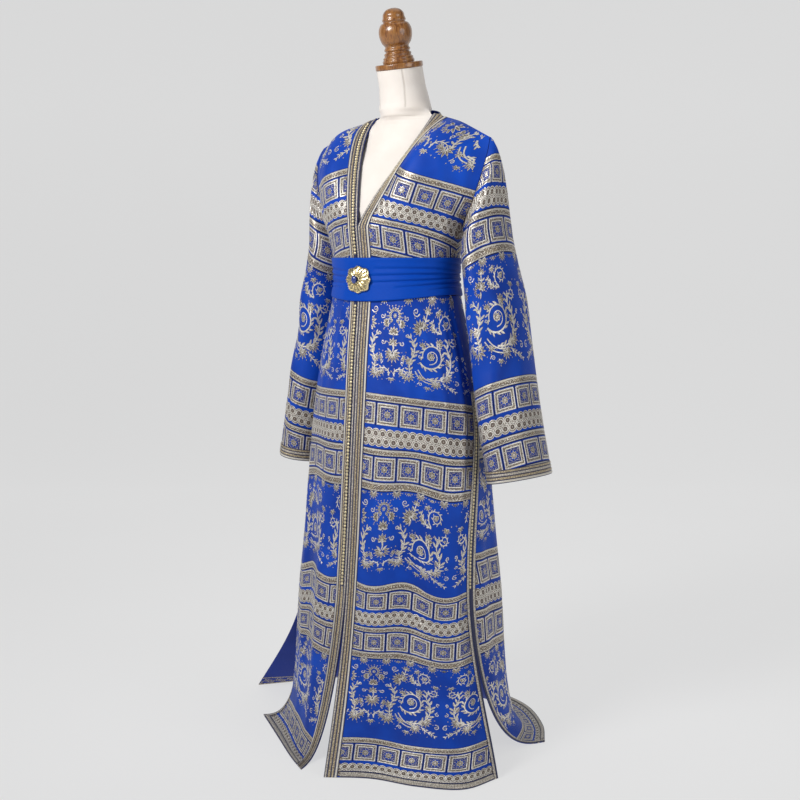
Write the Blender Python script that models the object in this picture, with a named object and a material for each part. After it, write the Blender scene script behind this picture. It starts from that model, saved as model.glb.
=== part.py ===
"""A long-sleeved kaftan worn by a limbless dress form, in metres.

+Z is up, the front faces -Y and the wearer's left is +X. The origin is the
middle of the underside of the form's base. Each panel is a grid of points
across the cloth and down the cut, thickened into a wall, and each trim is
made from the points of its panel, moved out.
"""
import math

import bpy
import numpy as np

MM = 0.001
CLOTH = 1.6 * MM
TRIM = 1.2 * MM
GAP = 0.3 * MM
SEAM = 0.15 * MM
RIDGE_SEAM = 0.25 * MM

FRONT_TRIM_WIDTH = 29 * MM
SIDE_TRIM_WIDTH = 12 * MM
HEM_TRIM_WIDTH = 14 * MM
CUFF_TRIM_WIDTH = 40 * MM

CHEST_LEVEL = 1.165
SLIT_LEVEL = 0.385
SIDE_TRIM_TOP = 0.81
# heights of the rows of points between the chest and the top of the slits
ROW_HEIGHTS = (
    1.165, 1.130, 1.100, 1.075, 1.050, 1.025, 1.000, 0.940,
    0.870, 0.800, 0.730, 0.660, 0.590, 0.520, 0.450, 0.385,
)
BACK_NECK_SHARE = 0.36

# height, half width, front depth, back depth of the worn cloth
BODY = (
    (0.000, 0.262, 0.215, 0.205),
    (0.220, 0.249, 0.195, 0.182),
    (0.365, 0.243, 0.185, 0.172),
    (0.505, 0.231, 0.173, 0.162),
    (0.620, 0.222, 0.165, 0.154),
    (0.780, 0.203, 0.153, 0.142),
    (0.890, 0.182, 0.145, 0.128),
    (1.000, 0.157, 0.134, 0.106),
    (1.050, 0.148, 0.130, 0.100),
    (1.105, 0.153, 0.134, 0.101),
    (1.165, 0.170, 0.141, 0.106),
    (1.260, 0.190, 0.140, 0.116),
)
# height, angle of the side seam from the middle of the front
SIDE_SEAM = (
    (0.320, 74.0),
    (0.450, 77.0),
    (0.600, 84.0),
    (0.750, 93.0),
    (0.950, 94.0),
    (1.165, 92.0),
)
# angle from the middle of the front, spread in degrees, depth at the floor, top
FOLDS = (
    (17.0, 15.0, 0.012, 0.80),
    (37.0, 17.0, -0.024, 0.95),
    (60.0, 16.0, 0.017, 0.85),
    (-16.0, 14.0, 0.008, 0.70),
    (-38.0, 16.0, -0.018, 0.90),
    (-60.0, 15.0, 0.009, 0.95),
    (98.0, 13.0, -0.012, 0.90),
    (120.0, 16.0, 0.020, 0.98),
    (143.0, 15.0, -0.018, 0.90),
    (166.0, 16.0, 0.018, 0.95),
    (-171.0, 14.0, -0.016, 0.85),
    (-150.0, 15.0, 0.018, 0.98),
    (-127.0, 14.0, -0.016, 0.90),
    (-103.0, 13.0, 0.012, 0.80),
)
# share across, then the start and the two handles of the curve down the cut
FRONT_YOKE = (
    (0.0, (0.078, 0.022, 1.410), (0.092, -0.030, 1.365), (0.018, -0.117, 1.235)),
    (0.5, (0.155, 0.021, 1.388), (0.158, -0.062, 1.386), (0.104, -0.152, 1.270)),
    (1.0, (0.232, 0.018, 1.352), (0.247, -0.012, 1.300), (0.215, -0.030, 1.205)),
)
BACK_YOKE = (
    (0.00, (0.000, 0.098, 1.430), (0.000, 0.116, 1.390), (0.000, 0.138, 1.250)),
    (0.36, (0.078, 0.022, 1.410), (0.084, 0.104, 1.412), (0.072, 0.140, 1.265)),
    (0.68, (0.155, 0.021, 1.388), (0.160, 0.086, 1.388), (0.130, 0.128, 1.260)),
    (1.00, (0.232, 0.018, 1.352), (0.247, 0.046, 1.300), (0.215, 0.050, 1.205)),
)
# share across, heel of the fall (x, y, z), hem on the floor (x, y)
LEFT_FALL = (
    (0.00, (0.018, -0.252, 0.120), (0.040, -0.309)),
    (0.25, (0.102, -0.222, 0.110), (0.125, -0.253)),
    (0.50, (0.172, -0.182, 0.110), (0.225, -0.228)),
    (0.75, (0.268, -0.152, 0.110), (0.312, -0.180)),
    (1.00, (0.300, -0.070, 0.110), (0.334, -0.085)),
)
RIGHT_FALL = (
    (0.00, (0.058, -0.190, 0.001), (0.026, -0.307)),
    (0.30, (0.112, -0.172, 0.001), (0.092, -0.268)),
    (0.65, (0.192, -0.122, 0.001), (0.210, -0.188)),
    (1.00, (0.264, -0.044, 0.001), (0.330, -0.107)),
)
BACK_FALL = (
    (-1.00, (-0.352, 0.005, 0.160), (-0.498, 0.050)),
    (-0.70, (-0.285, 0.125, 0.040), (-0.350, 0.250)),
    (-0.35, (-0.125, 0.190, 0.001), (-0.150, 0.352)),
    (0.00, (0.000, 0.198, 0.001), (0.000, 0.378)),
    (0.35, (0.115, 0.180, 0.001), (0.130, 0.342)),
    (0.70, (0.222, 0.112, 0.001), (0.240, 0.246)),
    (1.00, (0.238, 0.022, 0.001), (0.300, 0.158)),
)
# share down the sleeve, middle (x, y, z), half widths out and forward, tilt
SLEEVE = (
    (0.00, (0.216, 0.036, 1.120), 0.046, 0.078, 22.0),
    (0.22, (0.234, 0.043, 1.000), 0.050, 0.089, 14.0),
    (0.48, (0.252, 0.044, 0.880), 0.053, 0.092, 11.0),
    (0.76, (0.276, 0.038, 0.755), 0.055, 0.092, 11.0),
    (1.00, (0.302, 0.040, 0.624), 0.057, 0.090, 11.0),
)
SLEEVE_SIDES = 18
SLEEVE_HEAD_ROWS = 5
SLEEVE_LENGTH = 0.49
# how the sleeve leaves the armhole: a gap and a handle (out, down) at its top and under the arm
SLEEVE_STAND_OFF = (1.2 * MM, 2.4 * MM)
SLEEVE_LEAVE_TOP = (0.036, -0.026)
SLEEVE_LEAVE_UNDER = (0.008, -0.036)
# height, half width, front, back, pinch of the form's sections, tilt of the plane
FORM_BODY = (
    (0.780, 0.176, -0.132, 0.116, 0.50, 0.0),
    (0.800, 0.182, -0.137, 0.120, 0.50, 0.0),
    (0.870, 0.170, -0.132, 0.112, 0.50, 0.0),
    (0.950, 0.152, -0.124, 0.100, 0.50, 0.0),
    (1.050, 0.134, -0.115, 0.086, 0.50, 0.0),
    (1.100, 0.138, -0.120, 0.088, 0.50, 0.0),
    (1.150, 0.148, -0.128, 0.092, 0.50, 0.0),
    (1.200, 0.160, -0.121, 0.096, 0.50, 0.0),
    (1.250, 0.172, -0.094, 0.100, 0.58, 0.0),
    (1.300, 0.182, -0.066, 0.100, 0.75, 0.0),
    (1.335, 0.176, -0.041, 0.083, 1.00, 0.0),
)
# half width, front, back, pinch of the sections under the shoulder seams
FORM_SHOULDER = (
    (0.168, -0.024, 0.066, 2.40),
    (0.145, -0.022, 0.064, 2.60),
    (0.112, -0.023, 0.066, 2.80),
    (0.088, -0.027, 0.070, 2.40),
    (0.075, -0.030, 0.078, 1.50),
)
FORM_NECK = (
    (1.424, 0.0620, -0.031, 0.082, 0.55, 2.0),
    (1.440, 0.0570, -0.031, 0.078, 0.50, 4.0),
    (1.475, 0.0510, -0.037, 0.066, 0.50, 8.0),
    (1.512, 0.0505, -0.0465, 0.0545, 0.50, 11.0),
)

FORM_EASE = 1.0 * MM
NECK_TILT = 11.0
NECK_TOP = (0.0, 0.004, 1.512)
CAP_RADIUS = 0.0525
CAP_HEIGHT = 0.012
# radius and height of the turned wooden top above its cap
FINIAL = (
    (0.0345, 0.0000), (0.0350, 0.0060), (0.0330, 0.0085), (0.0335, 0.0120),
    (0.0295, 0.0150), (0.0300, 0.0210), (0.0262, 0.0240), (0.0290, 0.0290),
    (0.0262, 0.0345), (0.0320, 0.0440), (0.0365, 0.0600), (0.0355, 0.0740),
    (0.0290, 0.0850), (0.0245, 0.0875), (0.0262, 0.0920), (0.0245, 0.0965),
    (0.0230, 0.1050), (0.0150, 0.1140), (0.0060, 0.1170),
)
BASE_RADIUS = 0.130
BASE_HEIGHT = 0.018
POLE_RADIUS = 0.016

BELT_BOTTOM = 1.004
BELT_TOP = 1.098
BELT_SIDE_LIFT = 0.014
BELT_THICKNESS = 3.6 * MM
BELT_CREASE = 1.3 * MM
BELT_EASE = 1.3 * MM
# share of the height of each crease in the belt
BELT_CREASES = (0.30, 0.42, 0.55, 0.68)

BROOCH_RADIUS = 0.0295
BROOCH_LOBES = 8
BROOCH_HEIGHT = 0.012
GEM_SIZE = (0.0070, 0.0088, 0.0045)
GEM_SHIFT = -0.004

# pitch, width and rise of the knotted buttons
FRONT_BUTTON = (14 * MM, 6 * MM, 3 * MM)
SIDE_BUTTON = (15 * MM, 5 * MM, 2.4 * MM)
STRIP_THICKNESS = 1.0 * MM
BUTTON_EASE = 0.8 * MM

# name, colour, roughness, metallic
FINISHES = {
    "brocade": ((0.035, 0.09, 0.55), 0.45, 0.1),
    "braid": ((0.55, 0.50, 0.40), 0.40, 0.6),
    "gold_thread": ((0.75, 0.55, 0.25), 0.35, 0.8),
    "satin": ((0.015, 0.07, 0.62), 0.35, 0.0),
    "gilt": ((0.85, 0.62, 0.25), 0.25, 1.0),
    "gem": ((0.01, 0.02, 0.15), 0.05, 0.0),
    "canvas": ((0.80, 0.74, 0.66), 0.80, 0.0),
    "turned_wood": ((0.42, 0.20, 0.06), 0.25, 0.0),
    "pole_paint": ((0.82, 0.80, 0.76), 0.40, 0.0),
}


def clear_scene():
    for thing in list(bpy.data.objects):
        bpy.data.objects.remove(thing, do_unlink=True)


def finish_named(name):
    material = bpy.data.materials.get(name)
    if material:
        return material
    colour, roughness, metallic = FINISHES[name]
    material = bpy.data.materials.new(name)
    material.use_nodes = True
    shader = material.node_tree.nodes["Principled BSDF"]
    shader.inputs["Base Color"].default_value = (*colour, 1.0)
    shader.inputs["Roughness"].default_value = roughness
    shader.inputs["Metallic"].default_value = metallic
    return material


def add_mesh(name, points, faces, finish):
    mesh = bpy.data.meshes.new(name)
    mesh.from_pydata([tuple(map(float, p)) for p in points], [], faces)
    mesh.materials.append(finish_named(finish))
    mesh.shade_smooth()
    mesh.set_sharp_from_angle(angle=math.radians(50.0))
    thing = bpy.data.objects.new(name, mesh)
    bpy.context.scene.collection.objects.link(thing)
    return thing


def smooth(table, places):
    """Reads each column of a table at the places, on a curve through its rows."""
    rows = np.array([np.hstack(row) for row in table], float)
    xs, ys = rows[:, 0], rows[:, 1:]
    slopes = np.gradient(ys, xs, axis=0)
    places = np.clip(np.asarray(places, float), xs[0], xs[-1])
    low = np.clip(np.searchsorted(xs, places, side="right") - 1, 0, len(xs) - 2)
    span = (xs[low + 1] - xs[low])[..., None]
    q = (places - xs[low])[..., None] / span
    return (
        (1 + 2 * q) * (1 - q) ** 2 * ys[low]
        + q * (1 - q) ** 2 * span * slopes[low]
        + q**2 * (3 - 2 * q) * ys[low + 1]
        + q**2 * (q - 1) * span * slopes[low + 1]
    )


def bernstein(degree, q):
    return np.stack(
        [math.comb(degree, k) * q**k * (1 - q) ** (degree - k) for k in range(degree + 1)], -1
    )


def along(handles, share):
    """Points at a share of the length of Bezier curves, whose handles are (n, k, 3)."""
    degree = handles.shape[1] - 1
    steps = np.linspace(0.0, 1.0, 33)
    track = np.einsum("sk,nkd->nsd", bernstein(degree, steps), handles)
    pieces = np.linalg.norm(np.diff(track, axis=1), axis=2)
    reach = np.concatenate([np.zeros((len(pieces), 1)), np.cumsum(pieces, axis=1)], 1)
    goal = share * reach[:, -1]
    low = np.clip((reach[:, :-1] <= goal[:, None]).sum(1) - 1, 0, pieces.shape[1] - 1)
    rows = np.arange(len(low))
    q = (low + (goal - reach[rows, low]) / pieces[rows, low]) / pieces.shape[1]
    return np.einsum("nk,nkd->nd", bernstein(degree, q), handles)


def fold_depth(angle, height):
    depth = np.zeros(np.broadcast(angle, height).shape)
    for middle, spread, deep, top in FOLDS:
        apart = np.abs((angle - middle + 180.0) % 360.0 - 180.0) / spread
        wave = np.where(apart < 1.0, np.cos(apart * math.pi / 2) ** 2, 0.0)
        depth = depth + deep * wave * np.clip((top - height) / top, 0.0, 1.0) ** 1.2
    return depth


def body_point(angle, height):
    """A point on the worn cloth. The angle is in degrees from the middle of the front."""
    half, front, back = np.moveaxis(smooth(BODY, height), -1, 0)
    turn = np.radians(angle)
    depth = np.where(np.cos(turn) > 0, front, back)
    x, y = half * np.sin(turn), -depth * np.cos(turn)
    out = np.stack([x / half**2, y / depth**2], -1)
    out = out / np.linalg.norm(out, axis=-1, keepdims=True)
    push = fold_depth(angle, height)
    return np.stack([x + out[..., 0] * push, y + out[..., 1] * push, height + 0 * x], -1)


def seam_angle(height):
    return smooth(SIDE_SEAM, height)[..., 0]


def neckline_start(share):
    """The back neck from its middle to the shoulder seam, then the seam to its tip."""
    turn = np.clip(share / BACK_NECK_SHARE, 0.0, 1.0) * math.pi / 2
    middle, corner = np.array(BACK_YOKE[0][1]), np.array(BACK_YOKE[1][1])
    round_neck = np.stack(
        [
            corner[0] * np.sin(turn),
            corner[1] + (middle[1] - corner[1]) * np.cos(turn),
            corner[2] + (middle[2] - corner[2]) * np.cos(turn) ** 2,
        ],
        -1,
    )
    seam_share = np.clip((share - BACK_NECK_SHARE) / (1 - BACK_NECK_SHARE), 0.0, 1.0)
    seam = smooth([row[:2] for row in FRONT_YOKE], seam_share)
    return np.where((share < BACK_NECK_SHARE)[..., None], round_neck, seam)


def panel_point(panel, share, down):
    """A point of a panel. The share across runs from its middle edge to its side seam,
    or from the right seam to the left on the back. The way down is 0 to 1 from the
    shoulder to the chest, 1 to 2 to the top of the slits and 2 to 3 to the hem."""
    share, down = np.broadcast_arrays(np.asarray(share, float), np.asarray(down, float))
    flat_share, flat_down = share.ravel(), down.ravel()
    is_back = panel == "back"
    side = np.sign(flat_share + 1e-12) if is_back else {"left": 1.0, "right": -1.0}[panel]
    side = np.broadcast_to(side, flat_share.shape)
    part = np.abs(flat_share) if is_back else flat_share
    height = CHEST_LEVEL + (SLIT_LEVEL - CHEST_LEVEL) * np.clip(flat_down - 1, 0, 1)

    def angle_at(level):
        seam = seam_angle(level)
        return side * (180.0 + (seam - 180.0) * part if is_back else seam * part)

    points = body_point(angle_at(height), height)

    upper = flat_down < 1
    if upper.any():
        yoke = BACK_YOKE if is_back else FRONT_YOKE
        rows = smooth([(r[0], *r[1:]) for r in yoke], part[upper]).reshape(-1, 3, 3)
        if is_back:
            rows[:, 0] = neckline_start(part[upper])
        rows[:, :, 0] *= side[upper, None]
        handles = np.concatenate([rows, points[upper][:, None]], 1)
        points[upper] = along(handles, flat_down[upper])

    lower = flat_down > 2
    if lower.any():
        fall = {"left": LEFT_FALL, "right": RIGHT_FALL, "back": BACK_FALL}[panel]
        rows = smooth(fall, flat_share[lower])
        if not is_back:
            rows[:, [0, 3]] *= side[lower, None]
        start = points[lower]
        above = body_point(angle_at(height + 0.02)[lower], height[lower] + 0.02)
        hem = np.column_stack([rows[:, 3:5], np.full(len(rows), CLOTH / 2)])
        heel = rows[:, :3]
        handles = np.stack([start, start + 6.5 * (start - above), heel, (heel + hem) / 2, hem], 1)
        points[lower] = along(handles, flat_down[lower] - 2)
    return points.reshape(*share.shape, 3)


def grid_normals(grid, closed=False, on_seam=None):
    """Unit normals out of the cloth. Where the top row is on the shoulder seam, they
    stay in the plane of the seam, so that front and back meet edge to edge."""
    across = np.gradient(grid, axis=1)
    if closed:
        across = np.roll(grid, -1, axis=1) - np.roll(grid, 1, axis=1)
    normals = np.cross(np.gradient(grid, axis=0), across)
    if on_seam is not None:
        normals[0, on_seam, 1] = 0.0
    return normals / np.linalg.norm(normals, axis=2, keepdims=True)


def wall(name, outer, inner, finish, closed=False):
    """A closed wall between two grids of points, split into triangles the same way."""
    rows, cols = outer.shape[:2]
    points = np.concatenate([outer.reshape(-1, 3), inner.reshape(-1, 3)])
    shift = rows * cols
    faces = []
    for i in range(rows - 1):
        for j in range(cols if closed else cols - 1):
            k = (j + 1) % cols
            a, b, c, d = i * cols + j, i * cols + k, (i + 1) * cols + k, (i + 1) * cols + j
            faces += [(a, d, b), (b, d, c)]
            faces += [(a + shift, b + shift, d + shift), (b + shift, c + shift, d + shift)]
    for i, flip in ((0, False), (rows - 1, True)):
        for j in range(cols if closed else cols - 1):
            a, b = i * cols + j, i * cols + (j + 1) % cols
            quad = (a, b, b + shift, a + shift)
            faces.append(quad[::-1] if flip else quad)
    if not closed:
        for j, flip in ((0, True), (cols - 1, False)):
            for i in range(rows - 1):
                a, b = i * cols + j, (i + 1) * cols + j
                quad = (a, b, b + shift, a + shift)
                faces.append(quad[::-1] if flip else quad)
    add_mesh(name, points, faces, finish)


def column_shares(panel, down, shares, widths):
    """The columns of a panel at one row: even shares, with a column at each trim's edge."""
    probe = 0.01
    columns = np.array(shares, float)
    ends = ((0, 1, widths[0]), (-1, -2, widths[1]))
    for edge, beside, width in ends:
        step = probe if edge == 0 else -probe
        here = panel_point(panel, columns[edge], down)
        there = panel_point(panel, columns[edge] + step, down)
        speed = np.linalg.norm(there - here) / probe
        inset = SEAM / speed
        if width:
            columns[beside] = columns[edge] + math.copysign(width / speed, step)
        columns[edge] += math.copysign(inset, step)
    return columns


def panel_grid(panel, shares, downs, widths):
    """The middle of a panel's cloth. The rows by the shoulder and the hem are placed
    by real widths, and the top row stands off the shoulder seam."""
    grid = np.array([panel_point(panel, column_shares(panel, d, shares, widths), d) for d in downs])
    first = np.linalg.norm(grid[1] - grid[0], axis=1, keepdims=True)
    grid[0] += (grid[1] - grid[0]) * RIDGE_SEAM / first
    last = np.linalg.norm(grid[-1] - grid[-3], axis=1, keepdims=True)
    grid[-2] = grid[-1] + (grid[-3] - grid[-1]) * HEM_TRIM_WIDTH / last
    return grid


def offset(grid, normals, distance):
    moved = grid + normals * distance
    floor = max(0.0, distance + CLOTH / 2)
    moved[..., 2] = np.maximum(moved[..., 2], floor)
    return moved


def inset(grid, rows, cols, edges):
    """A block of a grid, with each named edge drawn in by a seam gap."""
    block = grid[rows[0]: rows[1] + 1, cols[0]: cols[1] + 1].copy()
    for edge in edges:
        turned = {
            "top": block, "bottom": block[::-1],
            "start": block.swapaxes(0, 1), "end": block.swapaxes(0, 1)[::-1],
        }[edge]
        step = turned[1] - turned[0]
        turned[0] += step * GAP / np.linalg.norm(step, axis=-1, keepdims=True)
    return block


def trim_on(name, grid, normals, rows, cols, edges):
    low = CLOTH / 2 + GAP
    bottom = inset(offset(grid, normals, low), rows, cols, edges)
    top = inset(offset(grid, normals, low + TRIM), rows, cols, edges)
    wall(name, top, bottom, "braid")


def even(start, end, count):
    return list(np.linspace(start, end, count))


def body_rows():
    """The way down of each row, shared by the three panels."""
    upper = [0.0, 0.10, 0.22, 0.36, 0.52, 0.68, 0.84]
    tube = [1 + (CHEST_LEVEL - z) / (CHEST_LEVEL - SLIT_LEVEL) for z in ROW_HEIGHTS]
    lower = [2.15, 2.30, 2.45, 2.58, 2.70, 2.81, 2.90, 2.97, 3.0]
    return upper + tube + lower


def build_front(panel):
    columns = 10
    side = {"left": 1, "right": -1}[panel]
    shares = [0.0, 0.1] + even(0.2, 0.9, columns - 4) + [0.95, 1.0]
    rows = body_rows()
    grid = panel_grid(panel, shares, rows, (FRONT_TRIM_WIDTH, SIDE_TRIM_WIDTH))
    grid = grid if side == 1 else grid[:, ::-1]
    normals = grid_normals(grid, on_seam=np.full(columns, True))
    outer, inner = offset(grid, normals, CLOTH / 2), offset(grid, normals, -CLOTH / 2)
    wall(f"front_{panel}", outer, inner, "brocade")
    last = len(rows) - 1
    edge = (0, 1) if side == 1 else (columns - 2, columns - 1)
    seam = (columns - 2, columns - 1) if side == 1 else (0, 1)
    trim_on(f"trim_front_{panel}", grid, normals, (0, last), edge, ())
    top = int(np.argmax(grid[:, 0, 2] < SIDE_TRIM_TOP))
    trim_on(f"trim_side_front_{panel}", grid, normals, (top, last), seam, ())
    slit = int(np.argmax(grid[:, seam[0], 2] < SLIT_LEVEL))
    size, width = SIDE_BUTTON, SIDE_TRIM_WIDTH
    button_strip(f"buttons_side_{panel}", grid, normals, (top, slit), seam, 0.5, size, width)
    trim_on(f"trim_hem_{panel}", grid, normals, (last - 1, last), (1, columns - 2), ("start", "end"))
    return grid, normals, edge


def build_back():
    shares = [-1.0, -0.95] + even(-0.84, 0.84, 13) + [0.95, 1.0]
    nearest = [int(np.argmin([abs(s - g) for s in shares])) for g in (-BACK_NECK_SHARE, BACK_NECK_SHARE)]
    shares[nearest[0]], shares[nearest[1]] = -BACK_NECK_SHARE, BACK_NECK_SHARE
    rows = body_rows()
    grid = panel_grid("back", shares, rows, (SIDE_TRIM_WIDTH, SIDE_TRIM_WIDTH))[:, ::-1]
    on_seam = np.abs(np.array(shares[::-1])) > BACK_NECK_SHARE - 0.01
    normals = grid_normals(grid, on_seam=on_seam)
    outer, inner = offset(grid, normals, CLOTH / 2), offset(grid, normals, -CLOTH / 2)
    wall("back", outer, inner, "brocade")
    last, end = len(rows) - 1, len(shares) - 1
    top = int(np.argmax(grid[:, 0, 2] < SIDE_TRIM_TOP))
    trim_on("trim_side_back_left", grid, normals, (top, last), (0, 1), ())
    trim_on("trim_side_back_right", grid, normals, (top, last), (end - 1, end), ())
    trim_on("trim_hem_back", grid, normals, (last - 1, last), (1, end - 1), ("start", "end"))
    neck = sorted(end - index for index in nearest)
    trim_on("trim_back_neck", grid, normals, (0, 1), (neck[0], neck[1]), ("start", "end"))


def on_cells(block, place, rows):
    """Points on a two-column block of cells, split into the same triangles as a wall."""
    low = np.clip(rows.astype(int), 0, len(block) - 2)
    down = (rows - low)[:, None]
    a, b, c, d = block[low, 0], block[low, 1], block[low + 1, 1], block[low + 1, 0]
    near = a + down * (d - a) + place * (b - a)
    far = c + (1 - place) * (d - c) + (1 - down) * (b - c)
    return np.where(down + place <= 1.0, near, far)


def button_strip(name, grid, normals, rows, cols, place, size, trim_width):
    """A narrow strip down a column of cells, with a raised knot at each pitch."""
    pitch, width, rise = size
    lift = CLOTH / 2 + GAP + TRIM + BUTTON_EASE
    part = np.s_[rows[0]: rows[1] + 1, cols[0]: cols[1] + 1]
    block = offset(grid, normals, lift)[part]
    fine = np.linspace(0.0, len(block) - 1.0, 600)
    track = on_cells(block, place, fine)
    pieces = np.linalg.norm(np.diff(track, axis=0), axis=1)
    reach = np.concatenate([[0.0], np.cumsum(pieces)])
    count = int(reach[-1] / pitch)
    stations = np.interp(np.linspace(0.0, reach[-1], 2 * count + 1), reach, fine)
    half = width / 2 / trim_width
    base = np.stack([on_cells(block, place + step, stations) for step in (-half, 0.0, half)], 1)
    out = on_cells(normals[part], place, stations)
    out /= np.linalg.norm(out, axis=1, keepdims=True)
    raised = (np.arange(len(stations)) % 2 == 1)[:, None]
    top = base + out[:, None] * STRIP_THICKNESS
    top[:, 1] += out * raised * rise
    wall(name, top, base, "gold_thread")


def shoulder_height(half_width):
    seam = np.array([row[1] for row in FRONT_YOKE])
    fine = smooth([(a, b) for a, b in zip((0.0, 0.5, 1.0), seam)], np.linspace(0, 1, 60))
    return float(np.interp(half_width, fine[:, 0], fine[:, 2]))


def armhole(turn, side):
    """The loop round the armhole, from the shoulder tip forward, under and back."""
    forward = turn <= 180.0
    down = np.where(forward, turn, 360.0 - turn) / 180.0
    panel = "left" if side > 0 else "right"
    front = panel_point(panel, 1.0, down)
    back = panel_point("back", side * 1.0, down)
    return np.where(forward[:, None], front, back)


def sleeve_ring(share, turn):
    """An oval ring of the hanging sleeve, on the wearer's left."""
    x, y, z, out, forward, tilt = np.moveaxis(smooth(SLEEVE, share), -1, 0)
    tilt = np.radians(tilt)
    reach, width = out * np.cos(turn), forward * np.sin(turn)
    return np.stack([x + reach * np.cos(tilt), y - width, z + reach * np.sin(tilt)], -1)


def sleeve_grid(side):
    degrees = np.linspace(0.0, 360.0, SLEEVE_SIDES, endpoint=False)
    turn = np.radians(degrees)
    low = (1 - np.cos(turn)) / 2
    start = armhole(degrees, side)
    start[:, 0] *= side
    start[:, 0] += SLEEVE_STAND_OFF[0] + (SLEEVE_STAND_OFF[1] - SLEEVE_STAND_OFF[0]) * low
    outward, downward = (a + (b - a) * low for a, b in zip(SLEEVE_LEAVE_TOP, SLEEVE_LEAVE_UNDER))
    leave = np.stack([outward, 0 * low, downward], -1)
    first = sleeve_ring(np.zeros_like(turn), turn)
    second = sleeve_ring(np.full_like(turn, 0.06), turn)
    arrive = first + (first - second) * (3.2 - 2.4 * low)[:, None]
    handles = np.stack([start, start + leave, arrive, first], 1)
    head = [along(handles, np.full(SLEEVE_SIDES, s)) for s in even(0, 1, SLEEVE_HEAD_ROWS + 1)]
    cuff = 1.0 - CUFF_TRIM_WIDTH / SLEEVE_LENGTH
    arm = [sleeve_ring(np.full_like(turn, s), turn) for s in even(0, cuff, 9)[1:] + [1.0]]
    grid = np.array(head + arm)
    grid[:, :, 0] *= side
    return grid[:, ::-1] if side > 0 else grid


def build_sleeve(side, word):
    grid = sleeve_grid(side)
    normals = grid_normals(grid, closed=True)
    outer, inner = grid + normals * CLOTH / 2, grid - normals * CLOTH / 2
    wall(f"sleeve_{word}", outer, inner, "brocade", closed=True)
    low = CLOTH / 2 + GAP
    trim_outer = (grid + normals * (low + TRIM))[-2:]
    trim_inner = (grid + normals * low)[-2:]
    wall(f"trim_cuff_{word}", trim_outer, trim_inner, "braid", closed=True)


def build_belt():
    sides = 36
    angles = np.linspace(0.0, 360.0, sides, endpoint=False)
    crests = [(a + b) / 2 for a, b in zip(BELT_CREASES, BELT_CREASES[1:])]
    shares = sorted([0.0, 0.08, 0.22, 0.76, 0.92, 1.0, *BELT_CREASES, *crests])
    from_front = np.abs((angles + 180.0) % 360.0 - 180.0)
    over_trim = np.clip((24.0 - from_front) / 9.0, 0.0, 1.0)
    over_trim = over_trim**2 * (3 - 2 * over_trim)
    rest = CLOTH / 2 + BELT_EASE + over_trim * (TRIM + GAP)
    lift = BELT_SIDE_LIFT * np.sin(np.radians(from_front)) ** 2
    outer, inner = [], []
    for share in shares:
        height = BELT_TOP + (BELT_BOTTOM + lift - BELT_TOP) * share
        ring = body_point(angles, height)
        away = ring * (1, 1, 0)
        away /= np.linalg.norm(away, axis=1, keepdims=True)
        dent = BELT_CREASE if share in BELT_CREASES else 0.0
        full = BELT_THICKNESS * (1.0 if 0.0 < share < 1.0 else 0.6) - dent
        inner.append(ring + away * rest[:, None])
        outer.append(ring + away * (rest + full)[:, None])
    wall("belt", np.array(outer), np.array(inner), "satin", closed=True)
    middle, near = (BELT_TOP + BELT_BOTTOM) / 2, 1.1 * BROOCH_RADIUS
    front = np.array([ring[0] for ring in outer[::-1]])
    behind_brooch = np.linspace(middle - near, middle + near, 20)
    return -np.interp(behind_brooch, front[:, 2], front[:, 1]).min()


def turned(name, profile, sides, finish, place=(0, 0, 0), tilt=0.0, facing=None):
    """A solid of revolution with flat ends, from (radius, height) rows, bottom to top."""
    turn = np.linspace(0, 2 * math.pi, sides, endpoint=False)
    points = [(r * math.cos(a), r * math.sin(a), h) for r, h in profile for a in turn]
    faces = [tuple(reversed(range(sides)))]
    for i in range(len(profile) - 1):
        for j in range(sides):
            k = (j + 1) % sides
            low, high = i * sides, (i + 1) * sides
            faces.append((low + j, low + k, high + k, high + j))
    top = (len(profile) - 1) * sides
    faces.append(tuple(range(top, top + sides)))
    thing = add_mesh(name, points, faces, finish)
    thing.location = place
    thing.rotation_euler = facing or (math.radians(tilt), 0.0, 0.0)
    return thing


def form_ring(height, half, front, back, pinch, tilt, turn):
    middle = (front + back) / 2
    depth = (back - front) / 2
    thick = np.abs(np.cos(turn)) ** (2 * pinch)
    y = middle - depth * thick * np.sign(np.cos(turn))
    z = height + (y - middle) * math.tan(math.radians(tilt))
    return np.stack([half * np.sin(turn), y, z], -1)


def build_form():
    sides = 32
    turn = np.linspace(0, 2 * math.pi, sides, endpoint=False)
    under = CLOTH / 2 + FORM_EASE
    shoulder = [(shoulder_height(row[0]) - under, *row, 0.0) for row in FORM_SHOULDER]
    rings = [form_ring(*row, turn) for row in (*FORM_BODY, *shoulder, *FORM_NECK)]
    points = np.array(rings).reshape(-1, 3)
    faces = [tuple(range(sides))[::-1]]
    for i in range(len(rings) - 1):
        for j in range(sides):
            k = (j + 1) % sides
            low, high = i * sides, (i + 1) * sides
            faces.append((low + j, low + k, high + k, high + j))
    top = (len(rings) - 1) * sides
    faces.append(tuple(range(top, top + sides)))
    add_mesh("form_torso", points, faces, "canvas")


def on_neck(height):
    """The place on the tilted neck at a height above its top."""
    tilt = math.radians(NECK_TILT)
    x, y, z = NECK_TOP
    return (x, y - height * math.sin(tilt), z + height * math.cos(tilt))


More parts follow.
